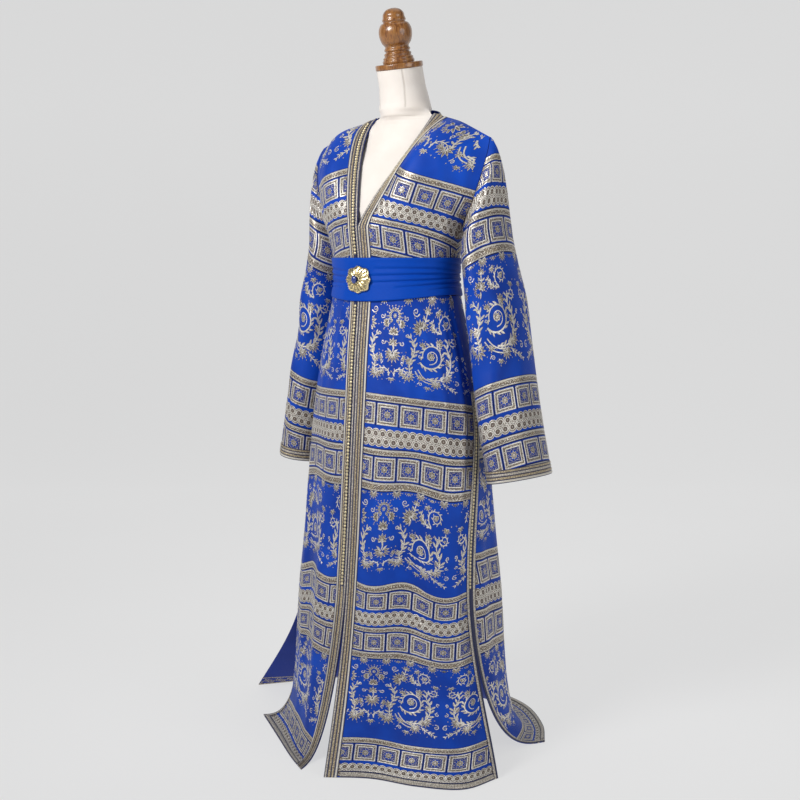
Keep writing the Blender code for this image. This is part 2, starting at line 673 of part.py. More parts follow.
def build_stand():
    rim = 2 * MM
    cap = ((CAP_RADIUS - rim, 0), (CAP_RADIUS, rim), (CAP_RADIUS, CAP_HEIGHT - rim),
           (CAP_RADIUS - rim, CAP_HEIGHT))
    turned("form_cap", cap, 32, "turned_wood", on_neck(GAP), NECK_TILT)
    turned("form_finial", FINIAL, 20, "turned_wood", on_neck(CAP_HEIGHT + 2 * GAP), NECK_TILT)
    floor_of_form = FORM_BODY[0][0]
    pole = ((POLE_RADIUS, BASE_HEIGHT + GAP), (POLE_RADIUS, floor_of_form - GAP))
    turned("form_pole", pole, 20, "pole_paint")
    edge = 4 * MM
    base = ((BASE_RADIUS, 0), (BASE_RADIUS, BASE_HEIGHT - edge), (BASE_RADIUS - edge, BASE_HEIGHT))
    turned("form_base", base, 36, "pole_paint")


def build_brooch(front):
    sides = 8 * BROOCH_LOBES
    turn = np.linspace(0, 2 * math.pi, sides, endpoint=False)
    lobes = 1.0 + 0.07 * np.cos(BROOCH_LOBES * turn)
    height = (BELT_TOP + BELT_BOTTOM) / 2
    back = -front - GAP
    # share of the radius, share of the lobes and rise of each ring
    rings = ((1.0, 1.0, 0.0), (1.0, 1.0, 0.25), (0.82, 0.9, 0.70), (0.60, 0.4, 1.0), (0.46, 0.0, 0.86))
    points, faces = [], [tuple(range(sides))]
    for reach, wave, rise in rings:
        radius = BROOCH_RADIUS * reach * (1 + (lobes - 1) * wave)
        for r, a in zip(radius, turn):
            points.append((r * math.cos(a), back - BROOCH_HEIGHT * rise, height + r * math.sin(a)))
    for i in range(len(rings) - 1):
        for j in range(sides):
            k = (j + 1) % sides
            low, high = i * sides, (i + 1) * sides
            faces.append((low + j, high + j, high + k, low + k))
    top = (len(rings) - 1) * sides
    faces.append(tuple(range(top, top + sides))[::-1])
    add_mesh("brooch", points, [f[::-1] for f in faces], "gilt")
    seat = back - BROOCH_HEIGHT * rings[-1][2] - GAP
    dome = [(math.cos(a), math.sin(a)) for a in np.radians((0, 20, 45, 68))]
    profile = [(1.0, 0.0)] + [(r, 0.25 + 0.75 * h) for r, h in dome]
    gem = turned("brooch_gem", profile, 16, "gem", facing=(math.radians(90.0), 0.0, 0.0))
    gem.location = (GEM_SHIFT, seat, height)
    gem.scale = (GEM_SIZE[0], GEM_SIZE[1], GEM_SIZE[2])


def build_front_buttons(grid, normals, edge):
    """The knotted buttons on the right front's trim, above and below the belt."""
    heights = grid[:, edge[0], 2]
    above = int(np.argmax(heights < BELT_TOP)) - 1
    below = int(np.argmax(heights < BELT_BOTTOM)) + 1
    slit = int(np.argmax(heights < SLIT_LEVEL))
    size, width = FRONT_BUTTON, FRONT_TRIM_WIDTH
    button_strip("buttons_front_upper", grid, normals, (1, above), edge, 0.60, size, width)
    button_strip("buttons_front_lower", grid, normals, (below, slit), edge, 0.60, size, width)


def main():
    clear_scene()
    build_front("left")
    build_front_buttons(*build_front("right"))
    build_back()
    build_sleeve(1, "left")
    build_sleeve(-1, "right")
    build_form()
    build_stand()
    build_brooch(build_belt())


main()
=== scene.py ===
"""The looks of a brocade kaftan on its dress form, in metres, in the part's frame.

The cloth is drawn again from the same tables as the solids, on finer grids. Each
point of the cloth knows its place across the cut and down the woven pattern, so
the pattern's threads, leaves and rings are laid on it as raised metal thread.
"""
import functools
import math

import bpy
import numpy as np
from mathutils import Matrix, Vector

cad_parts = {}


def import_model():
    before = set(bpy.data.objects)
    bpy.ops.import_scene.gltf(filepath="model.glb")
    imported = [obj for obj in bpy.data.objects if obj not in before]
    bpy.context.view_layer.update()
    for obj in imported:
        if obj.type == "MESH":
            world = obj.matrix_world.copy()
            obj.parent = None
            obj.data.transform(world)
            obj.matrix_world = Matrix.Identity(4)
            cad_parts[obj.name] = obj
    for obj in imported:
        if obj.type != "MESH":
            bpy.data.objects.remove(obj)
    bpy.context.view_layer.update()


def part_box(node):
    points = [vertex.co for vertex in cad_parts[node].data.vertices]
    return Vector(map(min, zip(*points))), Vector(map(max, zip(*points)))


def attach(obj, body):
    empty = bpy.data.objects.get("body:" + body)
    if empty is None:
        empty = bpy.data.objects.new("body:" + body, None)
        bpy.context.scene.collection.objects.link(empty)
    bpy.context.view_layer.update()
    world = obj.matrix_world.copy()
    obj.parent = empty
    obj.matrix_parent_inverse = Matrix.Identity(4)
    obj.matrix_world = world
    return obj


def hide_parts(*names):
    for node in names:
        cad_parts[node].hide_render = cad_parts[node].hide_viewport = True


MM = 0.001
CLOTH = 1.6 * MM
SEAM = 0.15 * MM
RIDGE_SEAM = 0.25 * MM

CHEST_LEVEL = 1.165
SLIT_LEVEL = 0.385
SIDE_TRIM_TOP = 0.81
BACK_NECK_SHARE = 0.36
BELT_BOTTOM = 1.004
BELT_TOP = 1.098
BELT_MIDDLE = (BELT_TOP + BELT_BOTTOM) / 2
BELT_SIDE_LIFT = 0.014

# The shape of the worn cloth, as in the solids.
# height, half width, front depth, back depth of the worn cloth
BODY = (
    (0.000, 0.262, 0.215, 0.205),
    (0.220, 0.249, 0.195, 0.182),
    (0.365, 0.243, 0.185, 0.172),
    (0.505, 0.231, 0.173, 0.162),
    (0.620, 0.222, 0.165, 0.154),
    (0.780, 0.203, 0.153, 0.142),
    (0.890, 0.182, 0.145, 0.128),
    (1.000, 0.157, 0.134, 0.106),
    (1.050, 0.148, 0.130, 0.100),
    (1.105, 0.153, 0.134, 0.101),
    (1.165, 0.170, 0.141, 0.106),
    (1.260, 0.190, 0.140, 0.116),
)
# height, angle of the side seam from the middle of the front
SIDE_SEAM = (
    (0.320, 74.0),
    (0.450, 77.0),
    (0.600, 84.0),
    (0.750, 93.0),
    (0.950, 94.0),
    (1.165, 92.0),
)
# angle from the middle of the front, spread in degrees, depth at the floor, top
FOLDS = (
    (17.0, 15.0, 0.012, 0.80),
    (37.0, 17.0, -0.024, 0.95),
    (60.0, 16.0, 0.017, 0.85),
    (-16.0, 14.0, 0.008, 0.70),
    (-38.0, 16.0, -0.018, 0.90),
    (-60.0, 15.0, 0.009, 0.95),
    (98.0, 13.0, -0.012, 0.90),
    (120.0, 16.0, 0.020, 0.98),
    (143.0, 15.0, -0.018, 0.90),
    (166.0, 16.0, 0.018, 0.95),
    (-171.0, 14.0, -0.016, 0.85),
    (-150.0, 15.0, 0.018, 0.98),
    (-127.0, 14.0, -0.016, 0.90),
    (-103.0, 13.0, 0.012, 0.80),
)
# share across, then the start and the two handles of the curve down the cut
FRONT_YOKE = (
    (0.0, (0.078, 0.022, 1.410), (0.092, -0.030, 1.365), (0.018, -0.117, 1.235)),
    (0.5, (0.155, 0.021, 1.388), (0.158, -0.062, 1.386), (0.104, -0.152, 1.270)),
    (1.0, (0.232, 0.018, 1.352), (0.247, -0.012, 1.300), (0.215, -0.030, 1.205)),
)
BACK_YOKE = (
    (0.00, (0.000, 0.098, 1.430), (0.000, 0.116, 1.390), (0.000, 0.138, 1.250)),
    (0.36, (0.078, 0.022, 1.410), (0.084, 0.104, 1.412), (0.072, 0.140, 1.265)),
    (0.68, (0.155, 0.021, 1.388), (0.160, 0.086, 1.388), (0.130, 0.128, 1.260)),
    (1.00, (0.232, 0.018, 1.352), (0.247, 0.046, 1.300), (0.215, 0.050, 1.205)),
)
# share across, heel of the fall (x, y, z), hem on the floor (x, y)
LEFT_FALL = (
    (0.00, (0.018, -0.252, 0.120), (0.040, -0.309)),
    (0.25, (0.102, -0.222, 0.110), (0.125, -0.253)),
    (0.50, (0.172, -0.182, 0.110), (0.225, -0.228)),
    (0.75, (0.268, -0.152, 0.110), (0.312, -0.180)),
    (1.00, (0.300, -0.070, 0.110), (0.334, -0.085)),
)
RIGHT_FALL = (
    (0.00, (0.058, -0.190, 0.001), (0.026, -0.307)),
    (0.30, (0.112, -0.172, 0.001), (0.092, -0.268)),
    (0.65, (0.192, -0.122, 0.001), (0.210, -0.188)),
    (1.00, (0.264, -0.044, 0.001), (0.330, -0.107)),
)
BACK_FALL = (
    (-1.00, (-0.352, 0.005, 0.160), (-0.498, 0.050)),
    (-0.70, (-0.285, 0.125, 0.040), (-0.350, 0.250)),
    (-0.35, (-0.125, 0.190, 0.001), (-0.150, 0.352)),
    (0.00, (0.000, 0.198, 0.001), (0.000, 0.378)),
    (0.35, (0.115, 0.180, 0.001), (0.130, 0.342)),
    (0.70, (0.222, 0.112, 0.001), (0.240, 0.246)),
    (1.00, (0.238, 0.022, 0.001), (0.300, 0.158)),
)
# share down the sleeve, middle (x, y, z), half widths out and forward, tilt
SLEEVE = (
    (0.00, (0.216, 0.036, 1.120), 0.046, 0.078, 22.0),
    (0.22, (0.234, 0.043, 1.000), 0.050, 0.089, 14.0),
    (0.48, (0.252, 0.044, 0.880), 0.053, 0.092, 11.0),
    (0.76, (0.276, 0.038, 0.755), 0.055, 0.092, 11.0),
    (1.00, (0.302, 0.040, 0.624), 0.057, 0.090, 11.0),
)
SLEEVE_STAND_OFF = (1.2 * MM, 2.4 * MM)
SLEEVE_LEAVE_TOP = (0.036, -0.026)
SLEEVE_LEAVE_UNDER = (0.008, -0.036)
# height, half width, front, back, pinch of the form's sections, tilt of the plane
FORM_BODY = (
    (0.780, 0.176, -0.132, 0.116, 0.50, 0.0),
    (0.800, 0.182, -0.137, 0.120, 0.50, 0.0),
    (0.870, 0.170, -0.132, 0.112, 0.50, 0.0),
    (0.950, 0.152, -0.124, 0.100, 0.50, 0.0),
    (1.050, 0.134, -0.115, 0.086, 0.50, 0.0),
    (1.100, 0.138, -0.120, 0.088, 0.50, 0.0),
    (1.150, 0.148, -0.128, 0.092, 0.50, 0.0),
    (1.200, 0.160, -0.121, 0.096, 0.50, 0.0),
    (1.250, 0.172, -0.094, 0.100, 0.58, 0.0),
    (1.300, 0.182, -0.066, 0.100, 0.75, 0.0),
    (1.335, 0.176, -0.041, 0.083, 1.00, 0.0),
)
# half width, front, back, pinch of the sections under the shoulder seams
FORM_SHOULDER = (
    (0.168, -0.024, 0.066, 2.40),
    (0.145, -0.022, 0.064, 2.60),
    (0.112, -0.023, 0.066, 2.80),
    (0.088, -0.027, 0.070, 2.40),
    (0.075, -0.030, 0.078, 1.50),
)
FORM_NECK = (
    (1.424, 0.0620, -0.031, 0.082, 0.55, 2.0),
    (1.440, 0.0570, -0.031, 0.078, 0.50, 4.0),
    (1.475, 0.0510, -0.037, 0.066, 0.50, 8.0),
    (1.512, 0.0505, -0.0465, 0.0545, 0.50, 11.0),
)
FORM_EASE = 1.0 * MM
NECK_TILT = 11.0
NECK_TOP = (0.0, 0.004, 1.512)
CAP_RADIUS = 0.0525
CAP_HEIGHT = 0.012
# radius and height of the turned wooden top above its cap
FINIAL = (
    (0.0345, 0.0000), (0.0350, 0.0060), (0.0330, 0.0085), (0.0335, 0.0120),
    (0.0295, 0.0150), (0.0300, 0.0210), (0.0262, 0.0240), (0.0290, 0.0290),
    (0.0262, 0.0345), (0.0320, 0.0440), (0.0365, 0.0600), (0.0355, 0.0740),
    (0.0290, 0.0850), (0.0245, 0.0875), (0.0262, 0.0920), (0.0245, 0.0965),
    (0.0230, 0.1050), (0.0150, 0.1140), (0.0060, 0.1170),
)
BASE_RADIUS = 0.130
BASE_HEIGHT = 0.018
POLE_RADIUS = 0.016
BROOCH_RADIUS = 0.0295
GEM_SIZE = (0.0070, 0.0088, 0.0045)
GEM_SHIFT = -0.004

# pitches along the woven pattern, half a square's frame and its margin in the band
SQUARE_PITCH = 0.052
SQUARE_START = 0.004
SQUARE_HALF = 0.0235
SQUARE_MARGIN = 0.0032
RING_PITCH = 0.0165
# shift along and place below the middle of each row of rings
RING_ROWS = ((0.0, -0.0078), (RING_PITCH / 2, 0.0078))
# where each band starts below the top of a border, and its height
GOLD_TOP = (0.000, 0.016)
SQUARES_TOP = (0.016, 0.050)
RINGS = (0.066, 0.044)
GOLD_LOW = (0.110, 0.014)
SQUARES_LOW = (0.124, 0.052)
TWIST = (0.176, 0.018)
FIELD_START = 0.194
FIELD_HEIGHT = 0.21
PATTERN_REPEAT = 0.404
TILE_WIDTH = 0.312
TILE_START = 0.086
SLEEVE_TILE_START = {"left": -0.153, "right": 0.025}
BODICE_BORDER = 1.300
# height on the skirt, length up from the hem or height on the sleeve, and the place
# down the pattern there
SKIRT_MARKS = (
    (1.018, 0.194), (0.899, 0.301), (0.856, 0.346), (0.812, 0.404), (0.571, 0.632), (0.478, 0.705),
    (0.452, 0.750), (0.408, 0.808), (0.000, 1.180),
)
HEM_MARKS = ((0.000, 1.322), (0.084, 1.212))
SLEEVE_MARKS = (
    (1.420, -0.09), (1.294, 0.0), (1.231, 0.066), (1.181, 0.110), (1.080, 0.194), (0.827, 0.404),
    (0.620, 0.600),
)
# how much lower the bands hang at the side seam: above the belt, below it
BODICE_SLOPE = 0.060
SKIRT_SLOPE = 0.034
BACK_LIFT = 0.055

# rise of the raised thread along its border, on a stem and in the middle of a leaf
THREAD_EDGE = 0.06 * MM
STEM_RISE = 0.5 * MM
THREAD_RISE = 0.55 * MM

# how far the trims of the front and of the side reach in over the pattern
FRONT_TRIM = 29 * MM
SIDE_TRIM = 12 * MM
# how much wider the left lapel's braid lies above the chest, as a share
LAPEL_EXTRA = 0.42
# columns in from an edge that its trims are read from, and rows for neck, cuff and hem
EDGE_COLUMNS = 24
NECK_ROWS = 16
CUFF_ROWS = 14
HEM_ROWS = 10
# width of each braid and its strips of thread, from and to in mm in from the cloth's edge
FRONT_LEFT_BRAID = (
    29, ((1.6, 5.4, "cream"), (8.0, 13.0, "brown"), (15.4, 20.0, "brown"), (22.8, 27.2, "white")),
)
FRONT_RIGHT_BRAID = (
    29, ((1.8, 5.4, "cream"), (8.4, 14.6, "low"), (17.4, 21.6, "brown"), (24.0, 27.4, "white")),
)
SIDE_BRAID = (12, ((5.2, 11.0, "cream"),))
HEM_BRAID = (14, ((2.6, 11.4, "cream"),))
CUFF_BRAID = (28, ((1.6, 6.0, "white"), (8.0, 13.0, "brown"), (15.0, 20.0, "cream"), (22.0, 26.4, "brown")))
NECK_BRAID = (23, ((1.4, 5.4, "cream"), (7.4, 13.4, "brown"), (15.4, 21.4, "cream")))
# knotted buttons: pitch, then way in from the edge, half sizes and rise of each kind
KNOT_PITCH = 7.5 * MM
FRONT_KNOT = (11.6 * MM, (3.6, 3.7, 2.3), 1.9 * MM)
SIDE_KNOT = (2.7 * MM, (3.3, 2.3, 1.9), 1.8 * MM)
# share across, down from and to, width as a share, rise in mm, lean of each soft crease
FRONT_CREASES = (
    (0.22, 1.19, 1.42, 0.030, 2.0, 0.02),
    (0.40, 1.19, 1.56, 0.036, 3.4, 0.03),
    (0.58, 1.19, 1.44, 0.030, 2.6, 0.04),
    (0.76, 1.19, 1.50, 0.030, 3.4, 0.05),
    (0.92, 1.19, 1.46, 0.026, 2.4, 0.04),
    (0.30, 0.80, 1.10, 0.030, 2.0, -0.10),
    (0.48, 0.72, 1.10, 0.034, 2.8, -0.14),
    (0.66, 0.62, 1.10, 0.036, 3.2, -0.18),
    (0.84, 0.52, 1.10, 0.034, 3.0, -0.16),
    (0.72, 0.30, 0.80, 0.060, 3.4, 0.22),
    (0.88, 0.20, 0.70, 0.050, 2.8, 0.10),
    (0.84, 1.20, 1.86, 0.032, 6.5, 0.05),
    (0.66, 1.24, 1.70, 0.040, 4.0, 0.06),
    (0.30, 1.70, 2.90, 0.050, 4.5, 0.04),
    (0.62, 1.62, 2.95, 0.055, 6.0, -0.05),
    (0.86, 1.80, 2.95, 0.045, 5.0, 0.03),
)
BACK_CREASES = (
    (-0.80, 1.19, 1.60, 0.030, 2.4, -0.03),
    (-0.55, 1.19, 1.50, 0.026, 1.8, -0.02),
    (-0.30, 1.19, 1.62, 0.030, 2.4, 0.01),
    (-0.08, 1.19, 1.46, 0.024, 1.8, 0.02),
    (0.16, 1.19, 1.58, 0.028, 2.2, 0.00),
    (0.40, 1.19, 1.48, 0.026, 1.8, 0.02),
    (0.62, 1.19, 1.64, 0.030, 2.4, 0.03),
    (0.84, 1.19, 1.50, 0.026, 1.8, 0.03),
    (-0.62, 0.60, 1.10, 0.030, 2.2, 0.08),
    (-0.25, 0.72, 1.10, 0.028, 1.8, 0.05),
    (0.22, 0.66, 1.10, 0.028, 2.0, -0.05),
    (0.58, 0.58, 1.10, 0.030, 2.2, -0.08),
    (-0.45, 1.75, 2.80, 0.040, 3.5, -0.05),
    (0.05, 1.70, 2.75, 0.040, 3.5, 0.04),
    (0.52, 1.75, 2.80, 0.040, 3.5, 0.04),
)
# turn in degrees, height from and to, width in degrees, rise in mm, lean in degrees
SLEEVE_CREASES = (
    (20.0, 1.300, 1.160, 13.0, 3.4, 30.0),
    (55.0, 1.270, 1.120, 14.0, 4.6, 26.0),
    (-30.0, 1.300, 1.140, 14.0, 3.4, -30.0),
    (75.0, 1.120, 0.940, 15.0, 5.4, -55.0),
    (38.0, 1.060, 0.900, 12.0, 4.2, -40.0),
    (100.0, 1.000, 0.860, 14.0, 4.6, -50.0),
    (60.0, 0.930, 0.760, 13.0, 4.8, 42.0),
    (20.0, 0.900, 0.720, 12.0, 3.6, 30.0),
    (100.0, 0.820, 0.660, 14.0, 4.0, -26.0),
    (-40.0, 1.080, 0.900, 14.0, 3.2, 40.0),
    (-75.0, 0.960, 0.780, 14.0, 3.0, -40.0),
    (-20.0, 0.820, 0.660, 13.0, 2.2, 20.0),
)
# share down the belt, depth in mm, width, drift along it, angles where it starts and ends
BELT_PLEATS = (
    (0.30, 2.0, 0.030, 0.10, 14.0, 120.0), (0.43, 3.0, 0.026, 0.02, 6.0, 178.0),
    (0.56, 2.6, 0.024, -0.05, 4.0, 110.0), (0.66, 3.0, 0.028, -0.10, 30.0, 172.0),
    (0.80, 1.6, 0.026, -0.05, 60.0, 150.0), (0.18, 1.5, 0.024, 0.06, 70.0, 165.0),
    (0.26, 2.2, 0.028, 0.10, 215.0, 350.0), (0.42, 3.0, 0.026, 0.05, 184.0, 354.0),
    (0.62, 2.8, 0.028, -0.06, 186.0, 352.0), (0.76, 1.8, 0.026, -0.10, 230.0, 345.0),
    (0.52, 1.8, 0.022, 0.04, 250.0, 330.0), (0.50, 1.8, 0.022, 0.06, 60.0, 150.0),
)

# the scrolling field, in metres across and down from its top middle
# x, y, turn, length, lobes and spread of each palmette
FIELD_SPRAYS = (
    (0.012, 0.047, 5.0, 0.0150, 5, 90.0), (0.036, 0.150, 75.0, 0.0200, 7, 190.0),
    (0.024, 0.145, 120.0, 0.0115, 5, 140.0), (0.040, 0.118, 175.0, 0.0130, 5, 130.0),
    (0.060, 0.052, 205.0, 0.0230, 7, 140.0), (0.062, 0.046, -25.0, 0.0150, 5, 140.0),
    (0.070, 0.024, -80.0, 0.0110, 5, 150.0), (0.087, 0.046, 150.0, 0.0120, 5, 150.0),
    (0.100, 0.078, -40.0, 0.0150, 5, 140.0), (0.120, 0.144, 50.0, 0.0190, 7, 170.0),
    (0.022, 0.112, 20.0, 0.0105, 5, 120.0), (0.064, 0.086, -60.0, 0.0120, 5, 120.0),
    (0.140, 0.050, 100.0, 0.0100, 5, 130.0), (0.094, 0.020, 60.0, 0.0105, 5, 130.0),
    (0.080, 0.176, 100.0, 0.0095, 5, 140.0), (0.128, 0.112, -160.0, 0.0120, 5, 130.0),
    (0.098, 0.163, 75.0, 0.0180, 7, 180.0), (0.066, 0.150, 110.0, 0.0125, 5, 150.0),
)
MIDDLE_SPRAYS = (
    (0.069, -90.0, 0.0185, 5, 105.0), (0.088, -90.0, 0.0155, 5, 140.0),
    (0.105, 90.0, 0.0245, 9, 200.0), (0.162, 90.0, 0.0110, 5, 140.0),
)
# x, y, radius, turns, start, hand and any leaves' length of each scroll
FIELD_CURLS = (
    (0.0270, 0.0360, 0.0065, 1.10, 215.0, -1), (0.0215, 0.0840, 0.0064, 1.15, 200.0, -1),
    (0.0300, 0.0690, 0.0055, 1.00, 0.0, -1), (0.0450, 0.0240, 0.0088, 1.30, 20.0, 1),
    (0.1150, 0.0370, 0.0190, 1.55, 120.0, 1, 0.0078), (0.0850, 0.1030, 0.0165, 1.60, 100.0, -1),
    (0.1360, 0.0680, 0.0125, 1.40, 200.0, -1, 0.0062), (0.0240, 0.1240, 0.0055, 1.10, 90.0, 1),
    (0.0600, 0.1040, 0.0050, 1.10, 0.0, 1), (0.0640, 0.1700, 0.0065, 1.20, 180.0, 1),
    (0.1460, 0.1580, 0.0080, 1.20, 250.0, 1), (0.1465, 0.1240, 0.0062, 1.20, 270.0, -1),
    (0.1470, 0.0980, 0.0055, 1.20, 90.0, 1),
)
# width, leaf length and gap of each leafy stem, and the points that it runs through
FIELD_VINES = (
    (0.0028, 0.0085, 0.0072,
     (0.006, 0.156), (0.006, 0.146), (0.014, 0.139), (0.026, 0.140), (0.040, 0.150)),
    (0.0030, 0.0150, 0.0088,
     (0.044, 0.152), (0.039, 0.134), (0.041, 0.116), (0.048, 0.098), (0.046, 0.080), (0.036, 0.068)),
    (0.0030, 0.0110, 0.0070, (0.060, 0.050), (0.066, 0.038), (0.070, 0.022)),
    (0.0030, 0.0100, 0.0078, (0.106, 0.055), (0.094, 0.053), (0.086, 0.044), (0.080, 0.034)),
    (0.0034, 0.0165, 0.0088, (0.078, 0.152), (0.100, 0.154), (0.119, 0.144), (0.130, 0.124),
     (0.129, 0.100), (0.120, 0.082), (0.122, 0.068)),
    (0.0024, 0.0105, 0.0072, (0.112, 0.160), (0.124, 0.170), (0.136, 0.174), (0.146, 0.182)),
)
GARLAND = (
    ((0.052, 0.138), (0.062, 0.153), (0.078, 0.163), (0.094, 0.166)),
    ((0.058, 0.134), (0.068, 0.148), (0.082, 0.157), (0.096, 0.159)),
)
FIELD_DOTS = (
    (0.014, 0.018), (0.047, 0.044), (0.022, 0.060), (0.030, 0.100), (0.026, 0.120), (0.060, 0.082),
    (0.064, 0.072), (0.092, 0.016), (0.140, 0.022), (0.150, 0.046), (0.106, 0.068), (0.058, 0.120),
    (0.108, 0.122), (0.020, 0.168), (0.056, 0.176), (0.090, 0.184), (0.128, 0.184), (0.142, 0.140),
)

CAMERA_AZIMUTH = 38.0
CAMERA_PITCH = 6.17
CAMERA_PLACE = (0.0035, -2.98, 1.10)
CAMERA_LENS = 59.625
SENSOR_WIDTH = 36.0

FRONT_COLUMNS = 60
BACK_COLUMNS = 134
SLEEVE_COLUMNS = 112
YOKE_ROWS = 54
TUBE_ROWS = 150
FALL_ROWS = 92
SLEEVE_HEAD_ROWS = 22
SLEEVE_ARM_ROWS = 104


def smooth(table, places):
    """Reads each column of a table at the places, on a curve through its rows."""
    rows = np.array([np.hstack(row) for row in table], float)
    xs, ys = rows[:, 0], rows[:, 1:]
    slopes = np.gradient(ys, xs, axis=0)
    places = np.clip(np.asarray(places, float), xs[0], xs[-1])
    low = np.clip(np.searchsorted(xs, places, side="right") - 1, 0, len(xs) - 2)
    span = (xs[low + 1] - xs[low])[..., None]
    q = (places - xs[low])[..., None] / span
    return (
        (1 + 2 * q) * (1 - q) ** 2 * ys[low]
        + q * (1 - q) ** 2 * span * slopes[low]
        + q**2 * (3 - 2 * q) * ys[low + 1]
        + q**2 * (q - 1) * span * slopes[low + 1]
    )


def eased(share):
    """A share from 0 to 1 with a soft start and a soft end."""
    return share**2 * (3 - 2 * share)


def unit(vectors):
    return vectors / np.linalg.norm(vectors, axis=-1, keepdims=True)


def full_turn(count):
    """Even angles round a whole turn, in radians."""
    return np.linspace(0, 2 * math.pi, count, endpoint=False)


def reach_of(line):
    """Lengths along a line of points, from its first point."""
    return np.concatenate([[0.0], np.cumsum(np.linalg.norm(np.diff(line, axis=0), axis=1))])


def read_rows(places, reach, rows):
    """Each column of some rows, read at places along them."""
    return np.stack([np.interp(places, reach, column) for column in rows.T], -1)


def shut(grid):
    """A closed grid with its first column once more at its end."""
    return np.concatenate([grid, grid[:, :1]], 1)


def bernstein(degree, q):
    return np.stack(
        [math.comb(degree, k) * q**k * (1 - q) ** (degree - k) for k in range(degree + 1)], -1
    )


def along(handles, share):
    """Points at a share of the length of Bezier curves, whose handles are (n, k, 3)."""
    degree = handles.shape[1] - 1
    steps = np.linspace(0.0, 1.0, 33)
    track = np.einsum("sk,nkd->nsd", bernstein(degree, steps), handles)
    pieces = np.linalg.norm(np.diff(track, axis=1), axis=2)
    reach = np.concatenate([np.zeros((len(pieces), 1)), np.cumsum(pieces, axis=1)], 1)
    goal = share * reach[:, -1]
    low = np.clip((reach[:, :-1] <= goal[:, None]).sum(1) - 1, 0, pieces.shape[1] - 1)
    rows = np.arange(len(low))
    q = (low + (goal - reach[rows, low]) / pieces[rows, low]) / pieces.shape[1]
    return np.einsum("nk,nkd->nd", bernstein(degree, q), handles)


def fold_depth(angle, height):
    depth = np.zeros(np.broadcast(angle, height).shape)
    for middle, spread, deep, top in FOLDS:
        apart = np.abs((angle - middle + 180.0) % 360.0 - 180.0) / spread
        wave = np.where(apart < 1.0, np.cos(apart * math.pi / 2) ** 2, 0.0)
        depth = depth + deep * wave * np.clip((top - height) / top, 0.0, 1.0) ** 1.2
    return depth


def body_point(angle, height):
    """A point on the worn cloth. The angle is in degrees from the middle of the front."""
    half, front, back = np.moveaxis(smooth(BODY, height), -1, 0)
    turn = np.radians(angle)
    depth = np.where(np.cos(turn) > 0, front, back)
    x, y = half * np.sin(turn), -depth * np.cos(turn)
    out = unit(np.stack([x / half**2, y / depth**2], -1))
    push = fold_depth(angle, height)
    return np.stack([x + out[..., 0] * push, y + out[..., 1] * push, height + 0 * x], -1)


def seam_angle(height):
    return smooth(SIDE_SEAM, height)[..., 0]


def neckline_start(share):
    """The back neck from its middle to the shoulder seam, then the seam to its tip."""
    turn = np.clip(share / BACK_NECK_SHARE, 0.0, 1.0) * math.pi / 2
    middle, corner = np.array(BACK_YOKE[0][1]), np.array(BACK_YOKE[1][1])
    round_neck = np.stack(
        [
            corner[0] * np.sin(turn),
            corner[1] + (middle[1] - corner[1]) * np.cos(turn),
            corner[2] + (middle[2] - corner[2]) * np.cos(turn) ** 2,
        ],
        -1,
    )
    seam_share = np.clip((share - BACK_NECK_SHARE) / (1 - BACK_NECK_SHARE), 0.0, 1.0)
    seam = smooth([row[:2] for row in FRONT_YOKE], seam_share)
    return np.where((share < BACK_NECK_SHARE)[..., None], round_neck, seam)


def panel_point(panel, share, down):
    """A point of a panel. The share across runs from its middle edge to its side seam,
    or from the right seam to the left on the back. The way down is 0 to 1 from the
    shoulder to the chest, 1 to 2 to the top of the slits and 2 to 3 to the hem."""
    share, down = np.broadcast_arrays(np.asarray(share, float), np.asarray(down, float))
    flat_share, flat_down = share.ravel(), down.ravel()
    is_back = panel == "back"
    side = np.sign(flat_share + 1e-12) if is_back else {"left": 1.0, "right": -1.0}[panel]
    side = np.broadcast_to(side, flat_share.shape)
    part = np.abs(flat_share) if is_back else flat_share
    height = CHEST_LEVEL + (SLIT_LEVEL - CHEST_LEVEL) * np.clip(flat_down - 1, 0, 1)

    def angle_at(level):
        seam = seam_angle(level)
        return side * (180.0 + (seam - 180.0) * part if is_back else seam * part)

    points = body_point(angle_at(height), height)

    upper = flat_down < 1
    if upper.any():
        yoke = BACK_YOKE if is_back else FRONT_YOKE
        rows = smooth(yoke, part[upper]).reshape(-1, 3, 3)
        if is_back:
            rows[:, 0] = neckline_start(part[upper])
        rows[:, :, 0] *= side[upper, None]
        handles = np.concatenate([rows, points[upper][:, None]], 1)
        points[upper] = along(handles, flat_down[upper])

    lower = flat_down > 2
    if lower.any():
        fall = {"left": LEFT_FALL, "right": RIGHT_FALL, "back": BACK_FALL}[panel]
        rows = smooth(fall, flat_share[lower])
        if not is_back:
            rows[:, [0, 3]] *= side[lower, None]
        start = points[lower]
        above = body_point(angle_at(height + 0.02)[lower], height[lower] + 0.02)
        hem = np.column_stack([rows[:, 3:5], np.full(len(rows), CLOTH / 2)])
        heel = rows[:, :3]
        handles = np.stack([start, start + 6.5 * (start - above), heel, (heel + hem) / 2, hem], 1)
        points[lower] = along(handles, flat_down[lower] - 2)
    return points.reshape(*share.shape, 3)


def grid_normals(grid, closed=False, on_seam=None):
    """Unit normals out of the cloth. On the shoulder seam they stay in its plane."""
    across = np.gradient(grid, axis=1)
    if closed:
        across = np.roll(grid, -1, axis=1) - np.roll(grid, 1, axis=1)
    normals = np.cross(np.gradient(grid, axis=0), across)
    if on_seam is not None:
        normals[0, on_seam, 1] = 0.0
    return unit(normals)


